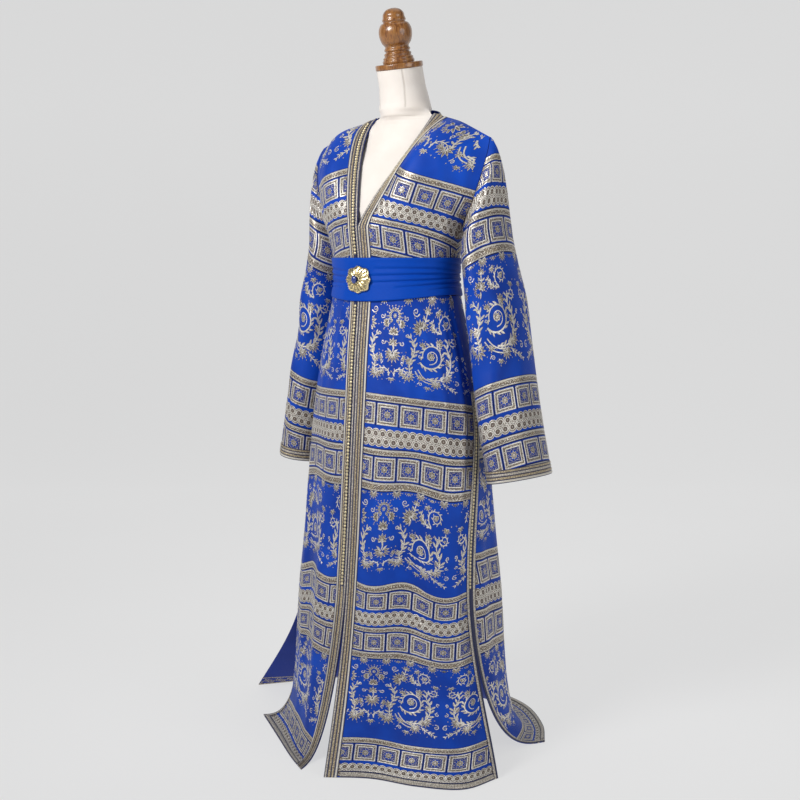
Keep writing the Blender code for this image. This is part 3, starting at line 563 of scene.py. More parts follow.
def ridges(table, across, down, wrap=None):
    """The rise of soft creases over the cloth, in metres."""
    rise = np.zeros(np.broadcast(across, down).shape)
    for middle, start, end, width, height, lean in table:
        q = (down - start) / (end - start)
        apart = across - middle - lean * (q - 0.5)
        if wrap:
            apart = (apart + wrap / 2) % wrap - wrap / 2
        fade = np.where((q > 0) & (q < 1), np.sin(np.clip(q, 0, 1) * math.pi), 0.0)
        rise = rise + height * MM * fade * np.exp(-((apart / width) ** 2))
    return rise


def reach_along(grid, axis):
    """Lengths along the rows or columns of a grid, from its first point."""
    pieces = np.linalg.norm(np.diff(grid, axis=axis), axis=2)
    zero = np.zeros_like(np.take(pieces, [0], axis))
    return np.concatenate([zero, np.cumsum(pieces, axis=axis)], axis)


def read_marks(marks, place):
    """Reads a table of falling places and pattern values, and carries on past its ends."""
    places = np.array([row[0] for row in marks])
    values = np.array([row[1] for row in marks])
    low = np.clip(np.searchsorted(-places, -place, side="right") - 1, 0, len(places) - 2)
    q = (place - places[low]) / (places[low + 1] - places[low])
    return values[low] + q * (values[low + 1] - values[low])


class Cloth:
    """A grid of cloth: its points, normals, place across the cut and place down the
    pattern. Belt row is the row under the belt, where the pattern starts again, and
    edges is the width of trim at the first and last column."""

    def __init__(self, points, normals, across, pattern, belt_row=None, edges=(0.0, 0.0)):
        self.points, self.normals = points, normals
        self.across, self.pattern = across, pattern
        self.belt_row, self.edges = belt_row, edges

    def face(self, side):
        return self.points + self.normals * side * CLOTH / 2


def panel_cloth(panel):
    is_back = panel == "back"
    shares = np.linspace(-1, 1, BACK_COLUMNS) if is_back else np.linspace(0, 1, FRONT_COLUMNS)
    yoke = np.linspace(0, 1, YOKE_ROWS) ** 1.15
    downs = np.concatenate([
        yoke[:-1], np.linspace(1, 2, TUBE_ROWS)[:-1], np.linspace(2, 3, FALL_ROWS),
    ])
    share, down = np.meshgrid(shares, downs)
    grid = panel_point(panel, share, down)
    for edge, beside in ((0, 1), (-1, -2)):
        grid[:, edge] += SEAM * unit(grid[:, beside] - grid[:, edge])
    grid[0] += RIDGE_SEAM * unit(grid[1] - grid[0])

    part = np.abs(share) if is_back else share
    z = grid[..., 2]
    upper = BODICE_BORDER - (z + BODICE_SLOPE * part**1.3)
    if is_back:
        lift = BACK_LIFT * (1 - 0.5 * (1 - part) ** 2)
        level = z - lift * np.clip((1.0 - z) / 0.3, 0, 1)
    else:
        sway = 0.009 * np.cos(2 * math.pi * (part - 0.45) / 0.56) * np.clip((0.75 - z) / 0.3, 0, 1)
        slope = SKIRT_SLOPE * (0.2 if panel == "right" else 1.0)
        slope = slope * np.clip((SKIRT_MARKS[0][0] - z) / 0.06, 0, 1)
        level = z + slope * part**1.3 - sway
    pattern = np.where(z > BELT_MIDDLE, upper, read_marks(SKIRT_MARKS, level))
    slit = YOKE_ROWS + TUBE_ROWS - 2
    up_from_hem = reach_along(grid[::-1], 0)[::-1]
    for column in range(len(shares)):
        marks = (*HEM_MARKS, (up_from_hem[slit, column], pattern[slit, column]))
        pattern[slit:, column] = np.interp(up_from_hem[slit:, column], *zip(*marks))

    window = np.clip((1 - part) / 0.10, 0, 1)
    if not is_back:
        window = window * np.clip((part - 0.05) / 0.12, 0, 1)
    rise = ridges(BACK_CREASES if is_back else FRONT_CREASES, share, down)
    if is_back or panel == "right":
        grid, pattern, rise, window = (a[:, ::-1] for a in (grid, pattern, rise, window))
        shares = shares[::-1]
    on_seam = np.abs(shares) > (BACK_NECK_SHARE - 0.01 if is_back else -1)
    normals = grid_normals(grid, on_seam=on_seam)
    grid = grid + normals * (rise * eased(window))[..., None]
    grid[..., 2] = np.maximum(grid[..., 2], CLOTH / 2)
    normals = grid_normals(grid, on_seam=on_seam)
    across = reach_along(grid, 1)
    if is_back:
        across = across - across[:, [BACK_COLUMNS // 2]]
    elif panel == "right":
        across = across - across[:, [-1]]
    belt_row = int(np.argmax(grid[:, 0, 2] < BELT_MIDDLE))
    edges = {
        "left": (FRONT_TRIM, SIDE_TRIM), "right": (SIDE_TRIM, FRONT_TRIM), "back": (SIDE_TRIM, SIDE_TRIM),
    }
    return Cloth(grid, normals, across, pattern, belt_row, edges[panel])


def armhole(turn, side):
    """The loop round the armhole, from the shoulder tip forward, under and back."""
    turn = turn % 360.0
    forward = turn <= 180.0
    down = np.where(forward, turn, 360.0 - turn) / 180.0
    panel = "left" if side > 0 else "right"
    front = panel_point(panel, 1.0, down)
    back = panel_point("back", side * 1.0, down)
    return np.where(forward[:, None], front, back)


def sleeve_ring(share, turn):
    """An oval ring of the hanging sleeve, on the wearer's left."""
    x, y, z, out, forward, tilt = np.moveaxis(smooth(SLEEVE, share), -1, 0)
    tilt = np.radians(tilt)
    reach, width = out * np.cos(turn), forward * np.sin(turn)
    return np.stack([x + reach * np.cos(tilt), y - width, z + reach * np.sin(tilt)], -1)


def sleeve_cloth(side):
    degrees = np.linspace(180.0, 540.0, SLEEVE_COLUMNS, endpoint=False)
    turn = np.radians(degrees)
    low = (1 - np.cos(turn)) / 2
    start = armhole(degrees, side)
    start[:, 0] *= side
    start[:, 0] += SLEEVE_STAND_OFF[0] + (SLEEVE_STAND_OFF[1] - SLEEVE_STAND_OFF[0]) * low
    outward, downward = (a + (b - a) * low for a, b in zip(SLEEVE_LEAVE_TOP, SLEEVE_LEAVE_UNDER))
    leave = np.stack([outward, 0 * low, downward], -1)
    first = sleeve_ring(np.zeros_like(turn), turn)
    second = sleeve_ring(np.full_like(turn, 0.06), turn)
    arrive = first + (first - second) * (3.2 - 2.4 * low)[:, None]
    handles = np.stack([start, start + leave, arrive, first], 1)
    head = [along(handles, np.full(len(turn), s)) for s in np.linspace(0, 1, SLEEVE_HEAD_ROWS)]
    arm = [sleeve_ring(np.full_like(turn, s), turn) for s in np.linspace(0, 1, SLEEVE_ARM_ROWS)]
    grid = np.array(head + arm[1:])

    middle = np.array([[row[1][2], row[1][0], row[4]] for row in SLEEVE[::-1]])
    z = grid[..., 2]
    lean = np.tan(np.radians(np.interp(z, middle[:, 0], middle[:, 2]) + 12.0))
    level = z - lean * (grid[..., 0] - np.interp(z, middle[:, 0], middle[:, 1]))
    pattern = np.maximum.accumulate(read_marks(SLEEVE_MARKS, level), axis=0)
    pattern = pattern + np.arange(len(grid))[:, None] * 1e-6

    rise = ridges(SLEEVE_CREASES, degrees[None, :], z, wrap=360.0)
    normals = -grid_normals(grid, closed=True)
    grid = grid + normals * rise[..., None]
    grid[..., 0] *= side
    if side > 0:
        grid, pattern = grid[:, ::-1], pattern[:, ::-1]
    normals = grid_normals(grid, closed=True)
    across = reach_along(shut(grid), 1)
    across = across - across[:, -1:] / 2
    return Cloth(grid, normals, across, shut(pattern))


def add_object(name, data):
    thing = bpy.data.objects.new(name, data)
    bpy.context.scene.collection.objects.link(thing)
    return thing


def stands_for(thing, node):
    """Hides the solid that a piece shows, so that the piece stands in its place."""
    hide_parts(node)
    return thing


def stacked_rings(rows, sides):
    """The faces of a solid of stacked rings: its bottom, its sides and its top."""
    faces = [tuple(reversed(range(sides)))]
    for low in range(0, (rows - 1) * sides, sides):
        for j in range(sides):
            k = (j + 1) % sides
            faces.append((low + j, low + k, low + sides + k, low + sides + j))
    return [*faces, tuple(range((rows - 1) * sides, rows * sides))]


def add_mesh(name, points, faces, materials, face_uvs=None, kinds=None):
    mesh = bpy.data.meshes.new(name)
    mesh.from_pydata(np.asarray(points, float).tolist(), [], faces)
    for material in materials:
        mesh.materials.append(material)
    if face_uvs is not None:
        layer = mesh.uv_layers.new(name="UVMap")
        layer.data.foreach_set("uv", np.asarray(face_uvs, np.float32).ravel())
    if kinds is not None:
        mesh.polygons.foreach_set("material_index", np.asarray(kinds, np.int32))
    mesh.shade_smooth()
    mesh.set_sharp_from_angle(angle=math.radians(60.0))
    mesh.update()
    thing = add_object(name, mesh)
    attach(thing, "root")
    return thing


def wall(name, outer, inner, uvs, materials, closed=False):
    """A closed wall between two grids, its outside in the first material."""
    rows, cols = outer.shape[:2]
    ends = cols if closed else cols - 1
    i, j = np.meshgrid(np.arange(rows - 1), np.arange(ends), indexing="ij")
    i, j = i.ravel(), j.ravel()
    k = (j + 1) % cols
    a, b, c, d = i * cols + j, i * cols + k, (i + 1) * cols + k, (i + 1) * cols + j
    shift = rows * cols
    faces = np.concatenate([
        np.stack([a, d, c, b], 1), np.stack([a, b, c, d], 1) + shift,
    ])
    corner = [uvs[i, j], uvs[i, j + 1], uvs[i + 1, j + 1], uvs[i + 1, j]]
    loops = [np.stack([corner[0], corner[3], corner[2], corner[1]], 1), np.stack(corner, 1)]
    kinds = [np.zeros(len(a), int), np.ones(len(a), int)]
    rims = []
    for row, flip in ((0, False), (rows - 1, True)):
        j = np.arange(ends)
        a, b = row * cols + j, row * cols + (j + 1) % cols
        rims.append((np.stack([a, b, b + shift, a + shift], 1), flip, uvs[row, j], uvs[row, j + 1]))
    if not closed:
        for col, flip in ((0, True), (cols - 1, False)):
            i = np.arange(rows - 1)
            a, b = i * cols + col, (i + 1) * cols + col
            rims.append((np.stack([a, b, b + shift, a + shift], 1), flip, uvs[i, col], uvs[i + 1, col]))
    for quads, flip, first, second in rims:
        pair = np.stack([first, second, second, first], 1)
        faces = np.concatenate([faces, quads[:, ::-1] if flip else quads])
        loops.append(pair[:, ::-1] if flip else pair)
        kinds.append(np.full(len(quads), len(materials) - 1))
    points = np.concatenate([outer.reshape(-1, 3), inner.reshape(-1, 3)])
    kinds = np.minimum(np.concatenate(kinds), len(materials) - 1)
    return add_mesh(name, points, faces.tolist(), materials, np.concatenate(loops), kinds)


class Term:
    """A number in a material's graph, with the usual sums."""

    def __init__(self, tree, socket):
        self.tree, self.socket = tree, socket

    def does(self, operation, *others, clamp=False):
        node = self.tree.nodes.new("ShaderNodeMath")
        node.operation, node.use_clamp = operation, clamp
        for slot, value in zip(node.inputs, (self, *others)):
            put(self.tree, slot, value)
        return Term(self.tree, node.outputs[0])

    def __add__(self, other):
        return self.does("ADD", other)

    def __sub__(self, other):
        return self.does("SUBTRACT", other)

    def __mul__(self, other):
        return self.does("MULTIPLY", other)

    def size(self):
        return self.does("ABSOLUTE")

    def wave(self):
        return self.does("SINE")

    def ripple(self, length):
        """A wave of a given length, between minus 1 and 1."""
        return (self * (2 * math.pi / length)).wave()

    def over(self, start, gain):
        """How far this is over a start, times a gain, kept between 0 and 1."""
        return self.does("SUBTRACT", start).does("MULTIPLY", gain, clamp=True)

    def below(self, edge, soft=0.0006):
        """1 where this is under the edge and 0 over it, with a soft step between."""
        return self.does("MULTIPLY_ADD", -1 / soft, edge / soft + 0.5, clamp=True)

    def within(self, low, high, soft=0.0006):
        middle, half = (low + high) / 2, (high - low) / 2
        return (self - middle).size().below(half, soft)

    def either(self, other):
        return self.does("MAXIMUM", other)

    def both(self, other):
        return self.does("MULTIPLY", other)

    def repeat(self, length, start=0.0):
        """The place within each repeat, from minus half to half of its length."""
        return ((self - start).does("DIVIDE", length).does("FRACT") - 0.5) * length

    def far(self, other):
        return (self * self + other * other).does("SQRT")


def any_of(terms):
    """1 where any of some terms is 1."""
    return functools.reduce(Term.either, terms)


def put(tree, slot, value):
    if isinstance(value, Term):
        tree.links.new(value.socket, slot)
    elif isinstance(value, bpy.types.NodeSocket):
        tree.links.new(value, slot)
    else:
        slot.default_value = value


class Finish:
    """A Principled material and the few kinds of node that these finishes use."""

    def __init__(self, name, **settings):
        self.material = bpy.data.materials.new(name)
        self.material.use_nodes = True
        self.tree = self.material.node_tree
        self.shader = self.tree.nodes["Principled BSDF"]
        for key, value in settings.items():
            self.shader.inputs[key.replace("_", " ")].default_value = value

    def node(self, kind, *inputs, **settings):
        node = self.tree.nodes.new(kind)
        for key, value in settings.items():
            setattr(node, key, value)
        for name, value in inputs:
            put(self.tree, node.inputs[name], value)
        return node

    def uv(self):
        split = self.node("ShaderNodeSeparateXYZ")
        source = self.node("ShaderNodeUVMap", uv_map="UVMap")
        self.tree.links.new(source.outputs[0], split.inputs[0])
        return Term(self.tree, split.outputs[0]), Term(self.tree, split.outputs[1])

    def place(self):
        return self.node("ShaderNodeTexCoord").outputs["Object"]

    def joined(self, x, y, z=0.0):
        return self.node("ShaderNodeCombineXYZ", ("X", x), ("Y", y), ("Z", z)).outputs[0]

    def noise(self, vector, scale, detail=2.0):
        node = self.node("ShaderNodeTexNoise", ("Vector", vector), ("Scale", scale), ("Detail", detail))
        return Term(self.tree, node.outputs["Fac"])

    def blend(self, share, first, second):
        node = self.node("ShaderNodeMix", data_type="RGBA")
        for index, value in ((0, share), (6, first), (7, second)):
            put(self.tree, node.inputs[index], (*value, 1.0) if isinstance(value, tuple) else value)
        return node.outputs[2]

    def between(self, share, first, second):
        node = self.node("ShaderNodeMix", data_type="FLOAT")
        for index, value in ((0, share), (2, first), (3, second)):
            put(self.tree, node.inputs[index], value)
        return Term(self.tree, node.outputs[0])

    def bump(self, height, depth, strength=1.0):
        node = self.node("ShaderNodeBump", ("Height", height), ("Distance", depth), ("Strength", strength))
        self.tree.links.new(node.outputs[0], self.shader.inputs["Normal"])

    def set(self, **sockets):
        for key, value in sockets.items():
            put(self.tree, self.shader.inputs[key.replace("_", " ")], value)
        return self.material


BLUE = (0.003, 0.064, 0.47)
BLUE_DEEP = (0.002, 0.036, 0.31)
NAVY = (0.006, 0.012, 0.07)
SILVER = (0.31, 0.272, 0.222)
# pale silver of the bright stitches, which also stands for painted glints
PALE_SILVER_AND_GLINT = (0.78, 0.74, 0.66)
# dark rim of the raised thread: its outline, and painted shade where it meets the cloth
OUTLINE_AND_SHADE = (0.030, 0.028, 0.045)
UMBER = (0.13, 0.095, 0.075)
WHITE = (0.72, 0.68, 0.60)
GOLD = (0.62, 0.50, 0.28)


def thread(finish, u, v, fine=1.0):
    """The colour of metal thread: bright and dark stitches, with a little gold. The bright stitches are the
    thread's pale tone and also painted glints.
    """
    spots = finish.joined(u, v)
    stitches = finish.noise(spots, 400.0 * fine, 1.0)
    patches = finish.noise(spots, 60.0, 2.0)
    dark = stitches.over(0.41, 7.0)
    # bright stitches: the thread's pale tone, with painted glints of light on the metal
    bright = stitches.over(0.54, 12.0)
    colour = finish.blend(dark, UMBER, SILVER)
    colour = finish.blend(bright, colour, PALE_SILVER_AND_GLINT)
    golden = patches.over(0.50, 1.6)
    return finish.blend(golden, colour, GOLD), stitches


def square_band(u, w, start, height):
    """A row of framed squares: its silver, its navy lines, the middle of its frames and
    the cloth within them."""
    x = u.repeat(SQUARE_PITCH, SQUARE_START)
    y = w - (start + height / 2)
    row = w.within(start + 0.0008, start + height - 0.0008)
    tall = y * (SQUARE_HALF / (height / 2 - SQUARE_MARGIN))
    ring = x.size().does("MAXIMUM", tall.size())
    away = x.far(y)
    petals = (y.does("ARCTAN2", x) * 8.0).does("COSINE") * 0.0020 + 0.0074
    flower = (away - petals).below(0.0).both(away.within(0.0015, 1.0))
    silver = ring.within(0.0148, SQUARE_HALF).either(flower).both(row)
    line = x.size().within(0.0246, 0.0270).either(ring.within(0.0137, 0.0146)).both(row)
    middle = ring.within(0.0174, 0.0210).both(row)
    heart = ring.below(0.0137).both(away.within(0.0098, 1.0)).both(row)
    return silver, line, middle, heart


def ring_band(u, w):
    """Two staggered rows of linked rings: their ground, the dark in them and their bright line."""
    grounds, darks, lights = [], [], []
    for shift, drop in RING_ROWS:
        away = u.repeat(RING_PITCH, shift).far(w - (RINGS[0] + RINGS[1] / 2 + drop))
        grounds.append(away.below(0.0104))
        darks += [away.within(0.0014, 0.0050), away.within(0.0074, 0.0086)]
        lights.append(away.within(0.0053, 0.0071))
    return any_of(grounds), any_of(darks), any_of(lights)


def brocade_finish(name):
    finish = Finish(name, Specular_IOR_Level=0.18, Sheen_Weight=0.04, Sheen_Tint=(0.25, 0.42, 1.0, 1.0))
    u, v = finish.uv()
    w = v.does("DIVIDE", PATTERN_REPEAT).does("FRACT") * PATTERN_REPEAT
    squares = zip(square_band(u, w, *SQUARES_TOP), square_band(u, w, *SQUARES_LOW))
    silver, line, middle, heart = (top.either(low) for top, low in squares)
    chain, holes, shine = ring_band(u, w)
    edges = [shine]
    silver = silver.either(chain)
    for start, height in (GOLD_TOP, GOLD_LOW, TWIST):
        end = start + height
        silver = silver.either(w.within(start + 0.0012, end - 0.0012))
        line = line.either(w.within(start - 0.0010, start + 0.0010))
        line = line.either(w.within(end - 0.0012, end + 0.0012))
        edges += [w.within(start + 0.0014, start + 0.0044), w.within(end - 0.0034, end - 0.0014)]
    scalloped = w - u.ripple(0.0130).size() * 0.0040
    strand = (u + w * 0.9).ripple(0.0150).size().below(0.30, 0.10)
    specks = [holes, strand.both(w.within(TWIST[0] + 0.005, TWIST[0] + TWIST[1] - 0.002))]
    for start, height in (GOLD_TOP, GOLD_LOW):
        centre = start + height / 2
        specks.append(scalloped.within(centre - 0.0010, centre + 0.0008))
    beads = u.ripple(0.0040) * w.ripple(0.0040)
    pitted = any_of([beads.below(-0.10, 0.4).both(middle), *specks])

    metal, stitches = thread(finish, u, v)
    weave = u.ripple(0.0011) * v.ripple(0.0013)
    cloudy = finish.noise(finish.joined(u, v), 9.0, 3.0)
    ground = finish.blend(cloudy.over(0.35, 3.0), BLUE_DEEP, BLUE)
    colour = finish.blend(heart * 0.7, ground, (0.006, 0.014, 0.13))
    colour = finish.blend(heart.both(stitches.does("GREATER_THAN", 0.50)) * 0.5, colour, metal)
    colour = finish.blend(silver, colour, finish.blend(chain * 0.75, metal, UMBER))
    colour = finish.blend(any_of(edges) * 0.7, colour, WHITE)
    colour = finish.blend(pitted * 0.85, colour, UMBER)
    colour = finish.blend(line, colour, NAVY)
    shiny = silver.both((line.either(pitted) - 1.0).size())
    finish.bump(shiny * 0.7 + weave * 0.10 + stitches.both(shiny) * 0.5, 0.35 * MM)
    return finish.set(
        Base_Color=colour,
        Metallic=finish.between(shiny, 0.0, 0.45),
        Roughness=finish.between(shiny, 0.55, 0.38),
    )


def motif_finish(name):
    """Raised thread: dark along its border, an outline with painted shade where it meets the cloth; bright
    just inside and worn in the middle.
    """
    finish = Finish(name, Specular_IOR_Level=0.6)
    rise, stem = finish.uv()
    place = finish.place()
    stitches = finish.noise(place, 700.0, 1.0)
    patches = finish.noise(place, 45.0, 2.0)
    heart = finish.blend(stitches.over(0.35, 4.0), (0.05, 0.040, 0.035), (0.26, 0.215, 0.17))
    heart = finish.blend(patches.over(0.52, 1.4), heart, (0.28, 0.18, 0.12))
    light = finish.blend(stitches.over(0.40, 4.0), (0.46, 0.42, 0.36), (0.95, 0.92, 0.86))
    colour = finish.blend(rise.below(0.50, 0.10).either(stem), heart, light)
    # painted shade at the foot of the raised thread, which also stands for its dark outline
    colour = finish.blend(rise.below(0.27, 0.08), colour, OUTLINE_AND_SHADE)
    finish.bump(stitches, 0.25 * MM)
    return finish.set(Base_Color=colour, Metallic=0.4, Roughness=finish.between(stitches, 0.50, 0.30))


def braid_finish(name, zones, below=None):
    """Woven braid: strips of plaited thread with navy between them, and one more below a length."""
    finish = Finish(name, Specular_IOR_Level=0.6)
    u, v = finish.uv()
    metal, stitches = thread(finish, u, v, 0.9)
    slant = (v + u.size() * 0.9).ripple(0.0036)
    plait = slant.below(-0.30, 0.5)
    warm = finish.blend(stitches, metal, GOLD)
    pale = finish.blend(stitches, metal, WHITE)
    tones = {"cream": (pale, 0.35), "brown": (warm, 0.5), "low": (warm, 0.5), "white": (WHITE, 0.25)}
    colour, strips = NAVY, []
    for start, end, tone in zones:
        strip = u.within(start * MM, end * MM, 0.0004)
        strips.append(strip)
        base, depth = tones[tone]
        if tone == "low":
            strip = strip.both(v.does("GREATER_THAN", below))
        colour = finish.blend(strip, colour, finish.blend(plait * depth, base, UMBER))
    finish.bump(slant * 0.5 + stitches * 0.5, 0.4 * MM)
    return finish.set(
        Base_Color=colour,
        Metallic=finish.between(any_of(strips), 0.0, 0.40),
        Roughness=finish.between(stitches, 0.50, 0.34),
    )


def lining_finish(name):
    finish = Finish(name, Roughness=0.6, Specular_IOR_Level=0.2)
    u, v = finish.uv()
    ribs = u.ripple(0.0016) * v.ripple(0.0016)
    cloudy = finish.noise(finish.joined(u, v), 14.0, 3.0)
    end = HEM_MARKS[0][1]
    facing = v.within(end - 0.046, end + 0.01)
    metal, _ = thread(finish, u, v)
    x = u.repeat(0.030)
    y = v - (end - 0.022)
    figure = x.far(y).within(0.0030, 0.0068).either((x.size() + y.size()).within(0.0115, 0.0150))
    bars = v.within(end - 0.046, end - 0.040).either(v.within(end - 0.008, end))
    silver = figure.either(bars).both(facing)
    colour = finish.blend(cloudy, (0.004, 0.022, 0.20), (0.006, 0.034, 0.30))
    colour = finish.blend(silver, colour, metal)
    finish.bump(ribs * 0.2 + silver, 0.2 * MM)
    return finish.set(Base_Color=colour, Metallic=finish.between(silver, 0.0, 0.5))


def satin_finish(name):
    finish = Finish(name, Specular_IOR_Level=0.10)
    u, v = finish.uv()
    ribs = v.ripple(0.0007)
    grain = finish.noise(finish.joined(u * 3.0, v * 60.0), 30.0, 2.0)
    colour = finish.blend(grain, (0.0008, 0.046, 0.36), (0.001, 0.068, 0.48))
    finish.bump(ribs * 0.25 + grain, 0.12 * MM)
    return finish.set(Base_Color=colour, Roughness=finish.between(grain, 0.42, 0.52))


def canvas_finish(name):
    finish = Finish(name, Sheen_Weight=0.15, Sheen_Roughness=0.6)
    place = finish.place()
    split = finish.node("ShaderNodeSeparateXYZ", ("Vector", place))
    x, y, z = (Term(finish.tree, out) for out in split.outputs)
    weave = (x * 5200.0).wave() * (z * 5200.0).wave() + (y * 5200.0).wave() * 0.5
    cloudy = finish.noise(place, 22.0, 3.0)
    lines = [(x.size() - level).size().below(0.00045, 0.0003) for level in (0.034, 0.0355)]
    seam = any_of(lines).both(z.within(1.425, 1.60))
    colour = finish.blend(cloudy, (0.78, 0.70, 0.63), (0.88, 0.83, 0.77))
    colour = finish.blend(seam * 0.4, colour, (0.42, 0.34, 0.27))
    finish.bump(weave * 0.12 - seam * 1.2, 0.35 * MM)
    return finish.set(Base_Color=colour, Roughness=finish.between(cloudy, 0.82, 0.68))


def wood_finish(name):
    finish = Finish(name, Coat_Weight=0.7, Coat_Roughness=0.12)
    place = finish.place()
    node = finish.node("ShaderNodeMapping", ("Vector", place), ("Scale", (14.0, 14.0, 1.6)))
    grain = finish.noise(node.outputs[0], 7.0, 6.0)
    rings = (grain * 42.0).wave()
    share = rings.does("MULTIPLY_ADD", 0.5, 0.5, clamp=True)
    colour = finish.blend(share, (0.15, 0.050, 0.010), (0.30, 0.12, 0.027))
    colour = finish.blend(grain.over(0.45, 2.2), colour, (0.42, 0.20, 0.052))
    finish.bump(rings, 0.06 * MM)
    return finish.set(Base_Color=colour, Roughness=finish.between(grain, 0.26, 0.42))


def gilt_finish(name, chased=False):
    finish = Finish(name, Metallic=1.0)
    place = finish.place()
    pits = finish.noise(place, 520.0, 2.0)
    wide = finish.noise(place, 90.0, 2.0)
    colour = finish.blend(wide, (0.72, 0.55, 0.24), (0.95, 0.85, 0.55))
    if chased:
        u, v = finish.uv()
        cuts = (u * 8.0).does("COSINE").size().below(0.22, 0.12).both(v.within(0.22, 0.80, 0.04))
        cuts = cuts.either((u * 16.0).does("COSINE").size().below(0.35, 0.2).both(v.within(0.62, 0.90, 0.04)))
        cuts = cuts.either(v.within(0.10, 0.18, 0.04))
        colour = finish.blend(cuts * 0.9, colour, (0.02, 0.015, 0.01))
    finish.bump(pits, 0.16 * MM)
    return finish.set(Base_Color=colour, Roughness=finish.between(pits, 0.20, 0.38))


def knot_finish(name):
    finish = Finish(name, Specular_IOR_Level=0.6)
    place = finish.place()
    twist = finish.noise(place, 900.0, 1.0)
    colour = finish.blend(twist, (0.44, 0.34, 0.17), (0.93, 0.84, 0.58))
    finish.bump(twist, 0.3 * MM)
    return finish.set(Base_Color=colour, Metallic=0.6, Roughness=finish.between(twist, 0.42, 0.24))


def gem_finish(name):
    finish = Finish(name, Coat_Weight=1.0, Coat_Roughness=0.03)
    clouds = finish.noise(finish.place(), 240.0, 3.0)
    colour = finish.blend(clouds, (0.006, 0.016, 0.12), (0.03, 0.07, 0.34))
    finish.bump(clouds, 0.03 * MM)
    return finish.set(Base_Color=colour, Roughness=finish.between(clouds, 0.06, 0.16))


def paint_finish(name):
    finish = Finish(name, Coat_Weight=0.2)
    speck = finish.noise(finish.place(), 400.0, 2.0)
    worn = finish.noise(finish.place(), 18.0, 3.0)
    colour = finish.blend(worn, (0.62, 0.59, 0.53), (0.76, 0.73, 0.67))
    finish.bump(speck, 0.05 * MM)
    return finish.set(Base_Color=colour, Roughness=finish.between(speck, 0.34, 0.46))


def curve_through(points, step=0.0035):
    """A smooth line through a few points, with even steps."""
    points = np.array(points, float)
    reach = reach_of(points)
    table = [(r, *p) for r, p in zip(reach, points)]
    return smooth(table, np.linspace(0, reach[-1], max(3, int(reach[-1] / step) + 1)))


def spiral(middle, outer, inner, turns, start, hand=1, step=0.0035):
    length = math.pi * (outer + inner) * turns
    q = np.linspace(0, 1, max(6, int(length / step)))
    radius = outer * (inner / outer) ** q
    angle = np.radians(start) + hand * 2 * math.pi * turns * q
    return np.stack([middle[0] + radius * np.cos(angle), middle[1] + radius * np.sin(angle)], -1)


